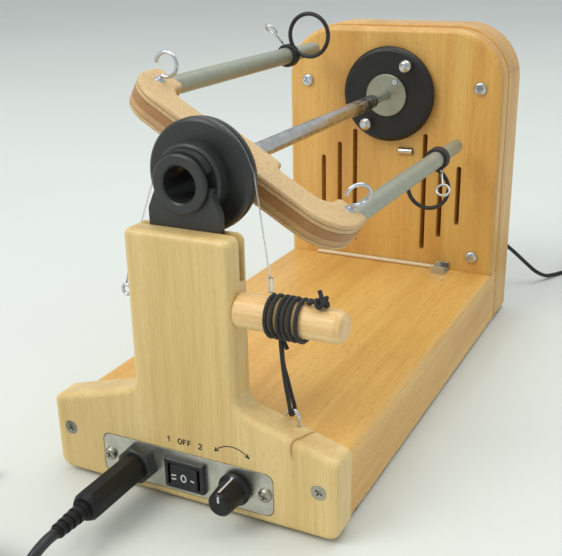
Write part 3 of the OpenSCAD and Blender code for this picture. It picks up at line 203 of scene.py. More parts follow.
def braided(name, runs, radius, body, sides=16):
    """Closed tubes along runs of points, with the angle round the cord and the length along it as "lay"."""
    verts, faces, lay = [], [], []
    for points in runs:
        first, along, last = len(verts), 0.0, None
        for q, ring in zip(points, rings(points, radius, sides)):
            along += (Vector(q) - last).length if last is not None else 0.0
            last = Vector(q)
            verts += ring
            lay += [(c, s, along) for c, s in turn_of(sides)]
        faces += tube_faces(first, len(points), sides)
    piece = mesh_piece(name, verts, faces, body)
    lays = piece.data.attributes.new("lay", "FLOAT_VECTOR", "POINT")
    lays.data.foreach_set("vector", [x for v in lay for x in v])
    return piece


# ---- the two leads ----

PEDAL_D, POWER_D = 4.7, 2.8
ROUTE_STEPS = 6
PEDAL_ROUTE = [
    (-25.3, -60, 16.8), (-25.3, -65, 16.8), (-25.6, -71, 15.3), (-26.4, -77, 11.8), (-27.7, -83, 7.6),
    (-29.6, -88, 4.5), (-30.2, -92, 2.9), (-30.25, -95.6, 2.4), (-30, -99.3, 2.35)]
POWER_ROUTE = [
    (52, 324, 38), (52, 329, 38), (54, 334, 35.6), (59, 338, 30), (66, 341, 23.5), (74, 344, 15.5),
    (80.5, 348.5, 8.5), (86, 356, 3.6), (90, 364.5, 1.8), (94.6, 372.6, 1.45), (98.6, 379.6, 1.4),
    (100.5, 384, 1.4), (101, 388.2, 1.4)]

pedal_lead = curve_piece(
    "pedal_lead",
    smooth(PEDAL_ROUTE, ROUTE_STEPS) + coil_points(
        PEDAL_D, per=2.5, layers=4, mid=26, end_z=6.5, where=(-30, -104), turn=180)[1:],
    PEDAL_D, "base")
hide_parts("pedal_cord", "pedal_coil")

power_lead = curve_piece(
    "power_lead",
    smooth(POWER_ROUTE, ROUTE_STEPS) + coil_points(
        POWER_D, per=3, layers=4, mid=16.5, end_z=6, where=(101, 391), turn=0)[1:],
    POWER_D, "base")
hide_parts("power_cord", "power_coil")

# ---- the tension cord on its peg ----

CORD_D = 1.8
PEG_Y, PEG_Z = 7.5, 98
WIND_R = 8.5  # from the peg's axis to the cord's centre
WIND_X = [41.2, 43.5, 46.7, 49.0, 51.3, 54.6, 56.9]  # where each turn crosses the top of the peg
WIND_RINGS = 36


def wind_at(u):
    """x of the winding after u turns."""
    i = min(math.floor(u), len(WIND_X) - 2)
    return WIND_X[i] * (1 - u + i) + WIND_X[i + 1] * (u - i)


def winding_points():
    turns = len(WIND_X) - 1
    wound = []
    for k in range(1, turns * WIND_RINGS + 1):
        u = k / WIND_RINGS
        a = math.radians(90 + 360 * u)
        wound.append(Vector((wind_at(u), PEG_Y + WIND_R * math.cos(a), PEG_Z + WIND_R * math.sin(a))))
    run = smooth([wound[-1], (58.3, 6.2, 106.5), (59.4, 5.9, 107.5), (61, 5.9, 107.5)], 5)
    return [Vector((WIND_X[0], 9.3, 106.4))] + wound + run[1:]


winding = braided("tension_cord_winding", [winding_points()], CORD_D / 2, "peg")
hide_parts("peg_winding")

KNOT_MIDDLE = Vector((63.6, 5.9, 107.6))
KNOT_STEPS = 60


def knot_points():
    """An overhand knot, drawn tight: the open trefoil between its two ends."""
    out = []
    for k in range(KNOT_STEPS + 1):
        t = math.radians(24 + 312 * k / KNOT_STEPS)
        out.append(KNOT_MIDDLE + Vector((
            -1.15 * math.cos(t) + 1.5 * math.cos(2 * t) - 0.2,
            0.95 * math.sin(t) + 1.35 * math.sin(2 * t),
            1.35 * math.sin(3 * t))))
    return out


def knot_runs():
    """The cord that comes in, is knotted and stands up, and the other cut end."""
    tied = knot_points()
    lead = smooth([(60.6, 5.9, 107.5), (61.6, 6.0, 107.4), tied[0], tied[2]], 5)[:-5]
    tail = smooth([tied[-3], tied[-1], (65.6, 4.6, 109.2), (66.6, 3.9, 111.2)], 5)[5:]
    other = smooth([(63.2, 6.4, 108.4), (62.6, 7.4, 110.0), (61.5, 8.3, 111.6)], 5)
    return [lead + tied[1:] + tail[1:], other]


knot = braided("tension_cord_knot", knot_runs(), CORD_D / 2, "peg")
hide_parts("cord_knot")

# The loop of cord: down from the peg, under the screw hook and up again, the two strands crossed
STRANDS = [
    (44.3, 7.7, 88.3), (44.6, 7.5, 84), (45.2, 7.6, 76), (45.7, 8.4, 68), (46.5, 9.4, 60),
    (47.0, 9.9, 54.8), (47.0, 10.25, 53.0), (47.0, 12, 51.8), (47.0, 13.75, 53.0),
    (47.0, 14.1, 54.8), (46.5, 12.7, 60), (45.6, 11.0, 68), (44.3, 9.8, 76),
    (43.9, 9.7, 83), (43.8, 9.9, 88)]
CUT_END = [(44.9, 8.7, 88), (45.5, 8.6, 86.4), (46.3, 8.5, 84.9), (47.0, 8.4, 83.6)]

strands = braided("tension_cord_strands", [smooth(STRANDS, 8), smooth(CUT_END, 5)], CORD_D / 2, "base")
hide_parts("tension_strands")

# ---- the clear brake line ----

LINE_D = 0.7
AIR = 0.3  # between the line and what turns under it
WHORL_R, GROOVE_DEPTH, GROOVE_Y = 24.7, 1.3, 25
LINE_R = WHORL_R - GROOVE_DEPTH + LINE_D / 2 + AIR
ON_AT, OFF_AT = 172, 22  # degrees at which it meets and leaves the groove
LINE_STEPS = 40
SLEEVE_R = 1.2


def on_groove(a, past=0.0):
    """A point of the line at a degrees round the whorl, or past millimetres along its tangent there."""
    a = math.radians(a)
    return Vector((LINE_R * math.cos(a) - past * math.sin(a), GROOVE_Y,
                   AXIS_H + LINE_R * math.sin(a) + past * math.cos(a)))


LINE = ([Vector((-30.7, 7.5, 101.1)), Vector((-30.1, 9.3, 107.8)), on_groove(ON_AT, 7)]
        + [on_groove(ON_AT + (OFF_AT - ON_AT) * k / LINE_STEPS) for k in range(LINE_STEPS + 1)]
        + [on_groove(OFF_AT, -7), Vector((39.4, 8.8, 115.4)), Vector((40.2, 7.8, 113.6))])


def sleeve_points():
    """The short clear sleeve that crimps the line to the cord on the peg."""
    end = LINE[-1]
    foot = PEG_Z + WIND_R + CORD_D / 2 + AIR
    return [Vector((end.x, end.y, foot + h)) for h in (0, 0.3, 0.6, 2, 4, 5.4, 5.8, 6)]


def make_line():
    runs = [(LINE, LINE_D / 2, 10), (sleeve_points(), SLEEVE_R, 18)]
    verts, faces = [], []
    for points, radius, sides in runs:
        faces += tube_faces(len(verts), len(points), sides)
        for ring in rings(points, radius, sides):
            verts += ring
    return mesh_piece("brake_line_clear", verts, faces, "base")


brake_line = make_line()
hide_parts("brake_line")

# ---- printed marks: thin ribbons of paint ----

PRINT_T = 0.04  # thickness of the paint
PRINT_UP = 0.02  # gap under it, so that it never lies in the face


def ribbon(points, width, closed=False):
    """The left and right edge of a flat line of that width along points of a plane."""
    p = [Vector(q) for q in points]
    n = len(p)
    left, right = [], []
    for i in range(n):
        into = p[i] - p[i - 1] if closed or i > 0 else p[i + 1] - p[i]
        out = p[(i + 1) % n] - p[i] if closed or i < n - 1 else into
        into, out = into.normalized(), out.normalized()
        mitre = Vector((-(into + out).y, (into + out).x)).normalized()
        reach = width / 2 / max(mitre.dot(Vector((-out.y, out.x))), 0.5)
        left.append(p[i] + mitre * reach)
        right.append(p[i] - mitre * reach)
    return left, right


def printed(name, lines, place, body):
    """Lines of paint, each (points, width, closed), laid by place(x, z, up) on a face of the part."""
    low, high = PRINT_UP, PRINT_UP + PRINT_T
    verts, faces = [], []
    for points, width, closed in lines:
        left, right = ribbon(points, width, closed)
        n = len(left)
        first = len(verts)
        for a, b in zip(left, right):
            for q, up in ((a, low), (b, low), (b, high), (a, high)):
                verts.append(place(q.x, q.y, up))
        for i in range(n if closed else n - 1):
            a, b = first + 4 * i, first + 4 * ((i + 1) % n)
            for k in range(4):
                faces.append((a + k, a + (k + 1) % 4, b + (k + 1) % 4, b + k))
        if not closed:
            faces.append(tuple(first + k for k in (3, 2, 1, 0)))
            faces.append(tuple(first + 4 * (n - 1) + k for k in range(4)))
    return mesh_piece(name, verts, faces, body, shade=False)


def arc(x, z, r, a0, a1, n, flat=1.0):
    """n + 1 points from a0 to a1 degrees on a circle, pressed to flat of its height."""
    angles = [math.radians(a0 + (a1 - a0) * k / n) for k in range(n + 1)]
    return [(x + r * math.cos(a), z + flat * r * math.sin(a)) for a in angles]


def letter_o(x, z, w, h):
    return arc(x, z, w / 2, 0, 345, 23, h / w)


def letter_f(x, z, w, h):
    """The two strokes of an F of width w and height h about x, z."""
    return [[(x - w / 2, z - h / 2), (x - w / 2, z + h / 2), (x + w / 2, z + h / 2)],
            [(x - w / 2, z), (x + w * 0.3, z)]]


def on_front(x, z, up):
    return (x, -up, z)


KNOB_X, ROCKER_X = 25.3, -0.5
ARC_STROKE, LETTER_STROKE = 0.5, 0.62
LETTER_Z, LETTER_H = 32.6, 2.5
BARB_L, BARB_ANGLE = 2.1, 28


def speed_arc():
    """The arc above the knob, with an arrow at each end."""
    sweep = arc(KNOB_X - 1.7, 25.9, 11.0, 141, 42, 24, 0.96)
    lines = [(sweep, ARC_STROKE, False)]
    for tip, near in ((sweep[0], sweep[2]), (sweep[-1], sweep[-3])):
        tip = Vector(tip)
        back = (Vector(near) - tip).normalized()
        for side in (BARB_ANGLE, -BARB_ANGLE):
            barb = Matrix.Rotation(math.radians(side), 2) @ back * BARB_L
            lines.append(([tip - back * 0.2, tip + barb], ARC_STROKE, False))
    return lines


def switch_words():
    """OFF above the switch, between a 1 and a 2."""
    z, h = LETTER_Z, LETTER_H
    lines = [(letter_o(ROCKER_X - 2.55, z, 1.9, h), LETTER_STROKE, True)]
    for x in (ROCKER_X, ROCKER_X + 2.4):
        lines += [(p, LETTER_STROKE, False) for p in letter_f(x, z, 1.5, h)]
    one = ROCKER_X - 8.2
    lines.append(([(one - 0.8, z + 0.55), (one, z + h / 2), (one, z - h / 2)], LETTER_STROKE, False))
    two = ROCKER_X + 8.0
    foot = [(two - 0.85, z - h / 2), (two + 0.95, z - h / 2)]
    lines.append((arc(two, z + 0.55, 0.75, 160, -30, 8) + foot, LETTER_STROKE, False))
    return lines


front_print = printed("front_marks", speed_arc() + switch_words(), on_front, "base")

MARK_Z = 15.4
PADDLE_CREST_Y = -3.2
PADDLE_HOLLOW_R, PADDLE_HOLLOW_OFF = 26, 25.3
BAR_STROKE, RING_STROKE = 0.75, 0.7


def on_paddle(x, z, up):
    """On the paddle's front, which is hollowed by a cylinder."""
    hollow = max(0.0, math.sqrt(PADDLE_HOLLOW_R ** 2 - (x - ROCKER_X) ** 2) - PADDLE_HOLLOW_OFF)
    return (x, PADDLE_CREST_Y + hollow - up, z)


def bar(x, z):
    return ([(x + 0.55 * k, z) for k in range(-2, 3)], BAR_STROKE, False)


def paddle_marks():
    """The usual signs of a two-way switch: two bars, a ring and one bar."""
    ring = (letter_o(ROCKER_X - 0.2, MARK_Z, 2.4, 3.4), RING_STROKE, True)
    left, right = ROCKER_X - 5.0, ROCKER_X + 4.7
    return [bar(left, MARK_Z - 0.95), bar(left, MARK_Z + 0.95), ring, bar(right, MARK_Z)]


paddle_print = printed("switch_marks", paddle_marks(), on_paddle, "paddle")


KNOB_Z, KNOB_L = 17, 16
KNOB_RIDGE_R = 6.3
KNOB_TAPER = [(3.5, 7.0), (4.3, 6.4), (15.0, 5.5)]  # distance from the plate, and radius there
POINTER_W = 1.0


def on_knob(x, out, up):
    """Out along the top of the knob, on its pointer ridge or on its skirt where that is higher."""
    radius = KNOB_RIDGE_R
    for (a, ra), (b, rb) in zip(KNOB_TAPER, KNOB_TAPER[1:]):
        if a <= out <= b:
            radius = max(radius, ra + (rb - ra) * (out - a) / (b - a))
    return (x, -out, KNOB_Z + radius + up)


pointer = [(KNOB_X, out) for out in (3.6, 4.3, 5.5, 8, 11, 15.2)]
knob_print = printed("knob_pointer", [(pointer, POINTER_W, False)], on_knob, "knob")


def on_tip(x, z, up):
    return (x, -KNOB_L - up, z)


pointer_end = [(KNOB_X, KNOB_Z + 4.5), (KNOB_X, KNOB_Z + 1.5)]
tip_print = printed("knob_pointer_end", [(pointer_end, POINTER_W, False)], on_tip, "knob")

# ---- finishes ----


def rgba(c):
    return (*c, 1.0) if len(c) == 3 else tuple(c)


class Finish:
    """A Principled material and short ways to build its nodes. Lengths in its coordinates are millimetres."""

    def __init__(self, name, color=(0.5, 0.5, 0.5), **sockets):
        self.material = bpy.data.materials.new(name)
        self.material.use_nodes = True
        self.nodes = self.material.node_tree.nodes
        self.links = self.material.node_tree.links
        self.nodes.clear()
        out = self.nodes.new("ShaderNodeOutputMaterial")
        self.shader = self.nodes.new("ShaderNodeBsdfPrincipled")
        self.links.new(self.shader.outputs[0], out.inputs["Surface"])
        self.set("Base Color", rgba(color))
        for key, value in sockets.items():
            self.set(SOCKETS[key], value)
        coords = self.nodes.new("ShaderNodeTexCoord").outputs["Object"]
        self.where = self.vector("SCALE", coords, scale=1000.0)

    def set(self, socket, value):
        self.feed(self.shader.inputs[socket], value)

    def feed(self, socket, value):
        if isinstance(value, bpy.types.NodeSocket):
            self.links.new(value, socket)
        else:
            socket.default_value = value

    def vector(self, kind, a, b=None, scale=None):
        node = self.nodes.new("ShaderNodeVectorMath")
        node.operation = kind
        self.feed(node.inputs[0], a)
        if b is not None:
            self.feed(node.inputs[1], b)
        if scale is not None:
            node.inputs["Scale"].default_value = scale
        return node.outputs["Value" if kind == "DOT_PRODUCT" else "Vector"]

    def math(self, kind, a, b=None):
        node = self.nodes.new("ShaderNodeMath")
        node.operation = kind
        self.feed(node.inputs[0], a)
        if b is not None:
            self.feed(node.inputs[1], b)
        return node.outputs[0]

    def parts(self, v):
        node = self.nodes.new("ShaderNodeSeparateXYZ")
        self.links.new(v, node.inputs[0])
        return node.outputs

    def stretched(self, sizes, seed=0.0):
        """Coordinates in which one unit is sizes millimetres along each axis."""
        scaled = self.vector("MULTIPLY", self.where, tuple(1 / s for s in sizes))
        return self.vector("ADD", scaled, (seed, seed * 1.7, -seed * 0.6))

    def noise(self, v, detail=3.0, rough=0.5, warp=0.0):
        node = self.nodes.new("ShaderNodeTexNoise")
        self.links.new(v, node.inputs["Vector"])
        values = {"Scale": 1.0, "Detail": detail, "Roughness": rough, "Distortion": warp}
        for key, value in values.items():
            node.inputs[key].default_value = value
        return node.outputs[0]

    def ramp(self, value, stops, ease="LINEAR"):
        node = self.nodes.new("ShaderNodeValToRGB")
        node.color_ramp.interpolation = ease
        points = node.color_ramp.elements
        while len(points) < len(stops):
            points.new(0.5)
        for point, (place, color) in zip(points, stops):
            point.position = place
            point.color = rgba(color if hasattr(color, "__len__") else (color,) * 3)
        self.links.new(value, node.inputs[0])
        return node.outputs["Color"]

    def step(self, value, low, high, a=0.0, b=1.0):
        """a below low, b above high, and smooth between."""
        node = self.nodes.new("ShaderNodeMapRange")
        node.interpolation_type = "SMOOTHSTEP"
        self.feed(node.inputs["Value"], value)
        for key, number in (("From Min", low), ("From Max", high), ("To Min", a), ("To Max", b)):
            node.inputs[key].default_value = number
        return node.outputs["Result"]

    def mix(self, share, a, b, kind="MIX"):
        node = self.nodes.new("ShaderNodeMix")
        node.data_type = "RGBA"
        node.blend_type = kind
        self.feed(node.inputs[0], share)
        self.feed(node.inputs[6], rgba(a) if isinstance(a, tuple) else a)
        self.feed(node.inputs[7], rgba(b) if isinstance(b, tuple) else b)
        return node.outputs[2]

    def bump(self, height, depth, normal=None, strength=1.0):
        """Bump of depth millimetres."""
        node = self.nodes.new("ShaderNodeBump")
        node.inputs["Strength"].default_value = strength
        node.inputs["Distance"].default_value = depth * MM
        self.feed(node.inputs["Height"], height)
        if normal is not None:
            self.links.new(normal, node.inputs["Normal"])
        return node.outputs["Normal"]

    def round_edges(self, radius):
        node = self.nodes.new("ShaderNodeBevel")
        node.samples = 4
        node.inputs["Radius"].default_value = radius * MM
        return node.outputs["Normal"]

    def edges(self, rounded, low=0.03, high=0.35):
        """1 on edges and 0 on flats, from how far the rounded normal leans."""
        flat = self.nodes.new("ShaderNodeNewGeometry").outputs["Normal"]
        lean = self.math("SUBTRACT", 1.0, self.vector("DOT_PRODUCT", rounded, flat))
        return self.step(lean, low, high)


SOCKETS = {
    "metallic": "Metallic",
    "rough": "Roughness",
    "ior": "IOR",
    "specular": "Specular IOR Level",
    "coat": "Coat Weight",
    "coat_rough": "Coat Roughness",
    "sheen": "Sheen Weight",
    "clear": "Transmission Weight",
}


DARK_EDGE_WOOD = (0.5, 0.33, 0.14)
GLUE_LINE = (0.3, 0.16, 0.05)
STAVE_TONES = [(0.0, (0.84, 0.8, 0.74)), (0.5, 1.0), (1.0, (1.1, 1.07, 1.02))]
GRAIN_TONES = [(0.3, (0.87, 0.82, 0.74)), (0.5, 1.0), (0.72, (1.05, 1.04, 1.0))]


def glued(f, color, staves, seed):
    """Strips of wood glued side by side: each a little lighter or darker, with a thin line between."""
    part = f.parts(f.stretched((staves,) * 3, seed * 0.37))
    white = f.nodes.new("ShaderNodeTexWhiteNoise")
    white.noise_dimensions = "1D"
    f.links.new(f.math("FLOOR", part[0]), white.inputs["W"])
    color = f.mix(0.55, color, f.ramp(white.outputs["Value"], STAVE_TONES), "MULTIPLY")
    gap = f.math("ABSOLUTE", f.math("SUBTRACT", f.math("FRACT", part[0]), 0.5))
    return f.mix(f.step(gap, 0.492, 0.4995, 0.0, 0.35), color, GLUE_LINE)


def wood(name, along, tones, seed, across=1.0, staves=None, fleck=0.5, crack=False):
    """Lacquered beech. along is the grain's axis, tones its pale, middle and deep colour, across the width of
    its figure, staves that of its glued strips in millimetres, and fleck the strength of its ray flecks."""
    pale, middle, deep = tones
    f = Finish(name, middle, coat=0.22, coat_rough=0.28)

    def sizes(wide, long):
        return tuple(long if k == along else wide * across for k in range(3))

    broad = f.noise(f.stretched(sizes(17, 240), seed), 2.0, 0.5, 0.6)
    bands = f.noise(f.stretched(sizes(4.2, 150), seed + 3), 3.0, 0.55, 0.4)
    fine = f.noise(f.stretched(sizes(0.55, 26), seed + 7), 4.0, 0.6)
    tone = f.math("ADD", f.math("MULTIPLY", broad, 0.6), f.math("MULTIPLY", bands, 0.4))
    color = f.ramp(tone, [(0.33, deep), (0.5, middle), (0.66, pale)], "B_SPLINE")
    if staves:
        color = glued(f, color, staves, seed)
    color = f.mix(0.8, color, f.ramp(fine, GRAIN_TONES), "MULTIPLY")
    rays = f.noise(f.stretched(sizes(0.62, 3.4), seed + 11), 2.0, 0.45)
    spots = f.step(rays, 0.6, 0.7, 0.0, fleck)
    color = f.mix(spots, color, (deep[0] * 0.8, deep[1] * 0.62, deep[2] * 0.5))
    rounded = f.round_edges(0.8)
    # the rounded edges are laid a little darker
    edge_share = f.edges(rounded, 0.05, 0.5)
    color = f.mix(f.math("MULTIPLY", edge_share, 0.25), color, DARK_EDGE_WOOD)
    if crack:
        color = cracked(f, color)
    f.set("Base Color", color)
    f.set("Roughness", f.step(fine, 0.3, 0.75, 0.5, 0.38))
    f.set("Normal", f.bump(f.math("ADD", fine, f.math("MULTIPLY", rays, 0.4)), 0.035, rounded))
    return f.material


CRACK_X, CRACK_TOP = 51.9, 46.5  # where it crosses the top edge of the foot's face


def cracked(f, color):
    """A natural reddish line in the grain of the foot, from its top edge down the front."""
    part = f.parts(f.where)
    x, y, z = part[0], part[1], part[2]
    wobble = f.math("SUBTRACT", f.noise(f.stretched((9, 9, 9), 5.0), 2.0, 0.5), 0.5)
    front = f.math("ADD", y, MIDDLE.y)
    down = f.math("SUBTRACT", CRACK_TOP, z)
    path = f.math("ADD", f.math("MULTIPLY", front, 0.34), f.math("MULTIPLY", down, 0.1))
    path = f.math("ADD", path, f.math("MULTIPLY", wobble, 2.4))
    off = f.math("ABSOLUTE", f.math("SUBTRACT", f.math("SUBTRACT", x, CRACK_X), path))
    span = f.math("MULTIPLY", f.step(front, 13.0, 15.0, 1.0, 0.0), f.step(z, 36.5, 41.0))
    halo = f.math("MULTIPLY", f.step(off, 0.3, 2.2, 0.35, 0.0), span)
    line = f.math("MULTIPLY", f.step(off, 0.1, 0.55, 0.8, 0.0), span)
    return f.mix(line, f.mix(halo, color, (0.5, 0.24, 0.07)), (0.24, 0.1, 0.03))


PLY_PALE, PLY_GLUE = (0.66, 0.45, 0.21), (0.17, 0.085, 0.03)
PLY_RED, PLY_BROWN = (0.42, 0.21, 0.075), (0.55, 0.34, 0.15)
PLY_HALF = 8
# Height above the middle of the board in millimetres, and the colour there
PLY_LAYERS = [
    (-7.5, PLY_PALE), (-4.75, PLY_PALE), (-4.7, PLY_GLUE), (-4.45, PLY_GLUE),
    (-4.4, PLY_BROWN), (-2.25, PLY_BROWN), (-2.2, PLY_PALE), (-2.0, PLY_PALE),
    (-1.95, PLY_RED), (2.5, PLY_RED), (2.55, PLY_GLUE), (2.85, PLY_GLUE),
    (2.9, PLY_PALE), (4.65, PLY_PALE), (4.7, PLY_GLUE), (4.95, PLY_GLUE),
    (5.0, PLY_PALE), (7.5, PLY_PALE)]
PLY_STREAKS = [(0.3, (0.8, 0.76, 0.7)), (0.55, 1.0), (0.75, (1.08, 1.06, 1.02))]
PLY_VENEER = [(0.3, (0.6, 0.37, 0.14)), (0.5, (0.7, 0.48, 0.22)), (0.7, (0.76, 0.55, 0.28))]


def plywood():
    """The flyer bar's layers, seen on its edges, and the veneer on its two faces."""
    f = Finish("plywood_edges", coat=0.2, coat_rough=0.25)
    normal = (math.sin(FLYER_TILT), 0.0, math.cos(FLYER_TILT))
    height = f.vector("DOT_PRODUCT", f.vector("SUBTRACT", f.where, (0.0, 0.0, AXIS_H)), normal)
    ripple = f.math("MULTIPLY", f.math("SUBTRACT", f.noise(f.stretched((30, 30, 30), 2.0)), 0.5), 0.8)
    height = f.math("ADD", height, ripple)
    share = f.math("DIVIDE", f.math("ADD", height, PLY_HALF), 2 * PLY_HALF)
    color = f.ramp(share, [((h + PLY_HALF) / (2 * PLY_HALF), c) for h, c in PLY_LAYERS])
    streaks = f.noise(f.stretched((26, 26, 0.5), 4.0), 4.0, 0.6)
    end = f.noise(f.stretched((0.6, 0.6, 2.0), 9.0), 3.0, 0.6)
    color = f.mix(0.7, color, f.ramp(streaks, PLY_STREAKS), "MULTIPLY")
    color = f.mix(0.6, color, f.ramp(end, [(0.32, (0.78, 0.7, 0.6)), (0.5, 1.0)]), "MULTIPLY")
    face = f.step(f.math("ABSOLUTE", height), 6.6, 7.0)
    grain = f.noise(f.stretched((30, 0.9, 0.9), 12.0), 4.0, 0.6, 0.4)
    f.set("Base Color", f.mix(face, color, f.ramp(grain, PLY_VENEER)))
    f.set("Roughness", f.step(streaks, 0.3, 0.7, 0.5, 0.36))
    f.set("Normal", f.bump(f.math("ADD", streaks, end), 0.04, f.round_edges(0.4)))
    return f.material


LATHE_PITCH = 0.42


def plastic(name, color, rough, turned=0.0, grain=0.0, edge_highlight_and_wear=0.5, **more):
    """Black plastic: turned is the depth of lathe lines about the flyer's axis, grain that of its pits."""
    f = Finish(name, color, **more)
    rounded = f.round_edges(0.25)
    smudge = f.noise(f.stretched((14, 14, 14), len(name)), 4.0, 0.6)
    dust = f.noise(f.stretched((0.5, 0.5, 0.5), 3.0), 3.0, 0.65)
    # how much painted edge highlight, with some rubbing of the edges, each edge gets
    edge_share = f.math("MULTIPLY", f.edges(rounded, 0.04, 0.4), edge_highlight_and_wear)
    lighter = tuple(c * 4 + 0.02 for c in color)
    smudged = tuple(c * 1.7 + 0.003 for c in color)
    tone = f.mix(f.step(smudge, 0.35, 0.75, 0.0, 0.35), color, smudged)
    tone = f.mix(f.step(dust, 0.68, 0.8, 0.0, 0.25), tone, lighter)
    # paler edges: painted edge highlight, with some rubbing; paler specks: dust
    f.set("Base Color", f.mix(edge_share, tone, lighter))
    f.set("Roughness", f.step(smudge, 0.3, 0.7, rough - 0.05, rough + 0.07))
    normal = rounded
    if turned:
        part = f.parts(f.vector("SUBTRACT", f.where, (0.0, 0.0, AXIS_H)))
        squares = f.math("ADD", f.math("MULTIPLY", part[0], part[0]), f.math("MULTIPLY", part[2], part[2]))
        radius = f.math("POWER", squares, 0.5)
        turns = f.math("SINE", f.math("MULTIPLY", f.math("ADD", radius, part[1]), 2 * math.pi / LATHE_PITCH))
        normal = f.bump(turns, turned, normal, 0.6)
    if grain:
        pits = f.noise(f.stretched((0.22, 0.22, 0.22), 6.0), 2.0, 0.5)
        normal = f.bump(pits, grain, normal)
    f.set("Normal", normal)
    return f.material


def metal(name, color, rough, brushed=None, mottle=0.06, edge=0.4, pits=0.0, metallic=1.0):
    """Bare or plated metal. brushed holds the sizes of its scratches along each axis, in millimetres."""
    f = Finish(name, color, metallic=metallic)
    rounded = f.round_edges(0.2)
    cloud = f.noise(f.stretched((6, 6, 6), len(name)), 4.0, 0.6)
    low = tuple(c * (1 - 3 * mottle) for c in color)
    high = tuple(min(1.0, c * (1 + 2 * mottle)) for c in color)
    tone = f.ramp(cloud, [(0.3, low), (0.7, high)])
    edge_share = f.math("MULTIPLY", f.edges(rounded, 0.04, 0.4), edge)
    f.set("Base Color", f.mix(edge_share, tone, tuple(min(1.0, c * 1.35) for c in color)))
    height, depth = cloud, 0.004
    if brushed:
        height, depth = f.noise(f.stretched(brushed, 5.0), 3.0, 0.6), 0.0012
    elif pits:
        height, depth = f.noise(f.stretched((0.25, 0.25, 0.25), 5.0), 2.0, 0.5), pits
    f.set("Roughness", f.step(height, 0.3, 0.7, rough - 0.06, rough + 0.08))
    f.set("Normal", f.bump(height, depth, rounded))
    return f.material


CORD_TONES = [(0.05, (0.002, 0.002, 0.0025)), (0.45, (0.008, 0.0085, 0.009)), (0.75, (0.032, 0.034, 0.035))]
BRAID_PITCH = 1.15


def cord_finish():
    """A braid of fine black strands: two sets of ridges that cross, from the piece's own lay."""
    f = Finish("braided_cord", (0.008, 0.009, 0.01), sheen=0.06, rough=0.6)
    attribute = f.nodes.new("ShaderNodeAttribute")
    attribute.attribute_name = "lay"
    part = f.parts(attribute.outputs["Vector"])
    angle = f.math("ARCTAN2", part[1], part[0])
    along = f.math("MULTIPLY", part[2], 2 * math.pi / BRAID_PITCH)
    waves = []
    for hand in (1, -1):
        phase = f.math("ADD", f.math("MULTIPLY", angle, 4.0 * hand), f.math("MULTIPLY", along, 2.0))
        waves.append(f.math("SINE", phase))
    over = f.math("MAXIMUM", waves[0], waves[1])
    fuzz = f.noise(f.stretched((0.16, 0.16, 0.16), 2.0), 3.0, 0.6)
    tone = f.math("ADD", f.math("MULTIPLY", over, 0.35), f.math("MULTIPLY", fuzz, 0.5))
    f.set("Base Color", f.ramp(tone, CORD_TONES))
    f.set("Normal", f.bump(f.math("ADD", over, f.math("MULTIPLY", fuzz, 0.6)), 0.07))
    return f.material


def nylon_finish():
    """Clear line with a little haze along it."""
    f = Finish("clear_nylon_line", (0.85, 0.88, 0.86), rough=0.16, ior=1.5, clear=0.85)
    haze = f.noise(f.stretched((0.7, 0.7, 3.0), 3.0), 3.0, 0.6)
    f.set("Base Color", f.ramp(haze, [(0.3, (0.84, 0.87, 0.86)), (0.7, (0.94, 0.96, 0.95))]))
    f.set("Roughness", f.step(haze, 0.3, 0.7, 0.12, 0.24))
    f.set("Normal", f.bump(haze, 0.01))
    return f.material


def rubber_finish():
    """Dull black rubber with a little bloom."""
    f = Finish("black_rubber_ring", (0.013, 0.013, 0.013))
    bloom = f.noise(f.stretched((5, 5, 5), 4.0), 5.0, 0.65)
    grit = f.noise(f.stretched((0.3, 0.3, 0.3), 1.0), 3.0, 0.6)
    f.set("Base Color", f.ramp(bloom, [(0.35, (0.009, 0.009, 0.009)), (0.7, (0.028, 0.028, 0.029))]))
    f.set("Roughness", f.step(bloom, 0.3, 0.7, 0.45, 0.63))
    f.set("Normal", f.bump(grit, 0.012, f.round_edges(0.2)))
    return f.material


def lead_finish():
    """Soft black insulation with a faint sheen and a little dust."""
    f = Finish("lead_insulation", (0.016, 0.016, 0.017))
    film = f.noise(f.stretched((9, 9, 9), 7.0), 4.0, 0.6)
    grit = f.noise(f.stretched((0.35, 0.35, 0.35), 2.0), 2.0, 0.5)
    f.set("Base Color", f.ramp(film, [(0.35, (0.011, 0.011, 0.012)), (0.7, (0.03, 0.03, 0.031))]))
    f.set("Roughness", f.step(film, 0.3, 0.7, 0.34, 0.5))
    f.set("Normal", f.bump(grit, 0.01))
    return f.material


def paint_finish(name, color):
    """Printed paint with small faded specks."""
    f = Finish(name, color)
    speck = f.noise(f.stretched((0.35, 0.35, 0.35), 8.0), 3.0, 0.6)
    faded = tuple(c * 0.75 + 0.03 for c in color)
    f.set("Base Color", f.ramp(speck, [(0.35, faded), (0.6, color)]))
    f.set("Roughness", f.step(speck, 0.3, 0.7, 0.45, 0.6))
    return f.material


MASK_TONES = [(0.3, (0.02, 0.1, 0.045)), (0.7, (0.035, 0.16, 0.07))]
TRACK_GREEN = (0.06, 0.25, 0.1)


def board_finish():
    """Green solder mask over tracks that run both ways."""
    f = Finish("solder_mask", (0.03, 0.14, 0.06), coat=0.4, coat_rough=0.2)
    part = f.parts(f.where)
    ways = [f.math("SINE", f.math("MULTIPLY", part[k], rate)) for k, rate in ((0, 2.1), (1, 1.7))]
    track = f.step(f.math("MAXIMUM", *ways), 0.9, 0.95, 0.0, 0.6)
    cloud = f.noise(f.stretched((8, 8, 8), 3.0), 3.0, 0.5)
    f.set("Base Color", f.mix(track, f.ramp(cloud, MASK_TONES), TRACK_GREEN))
    f.set("Roughness", f.step(cloud, 0.3, 0.7, 0.3, 0.42))
    return f.material


X_AXIS, Y_AXIS, Z_AXIS = 0, 1, 2
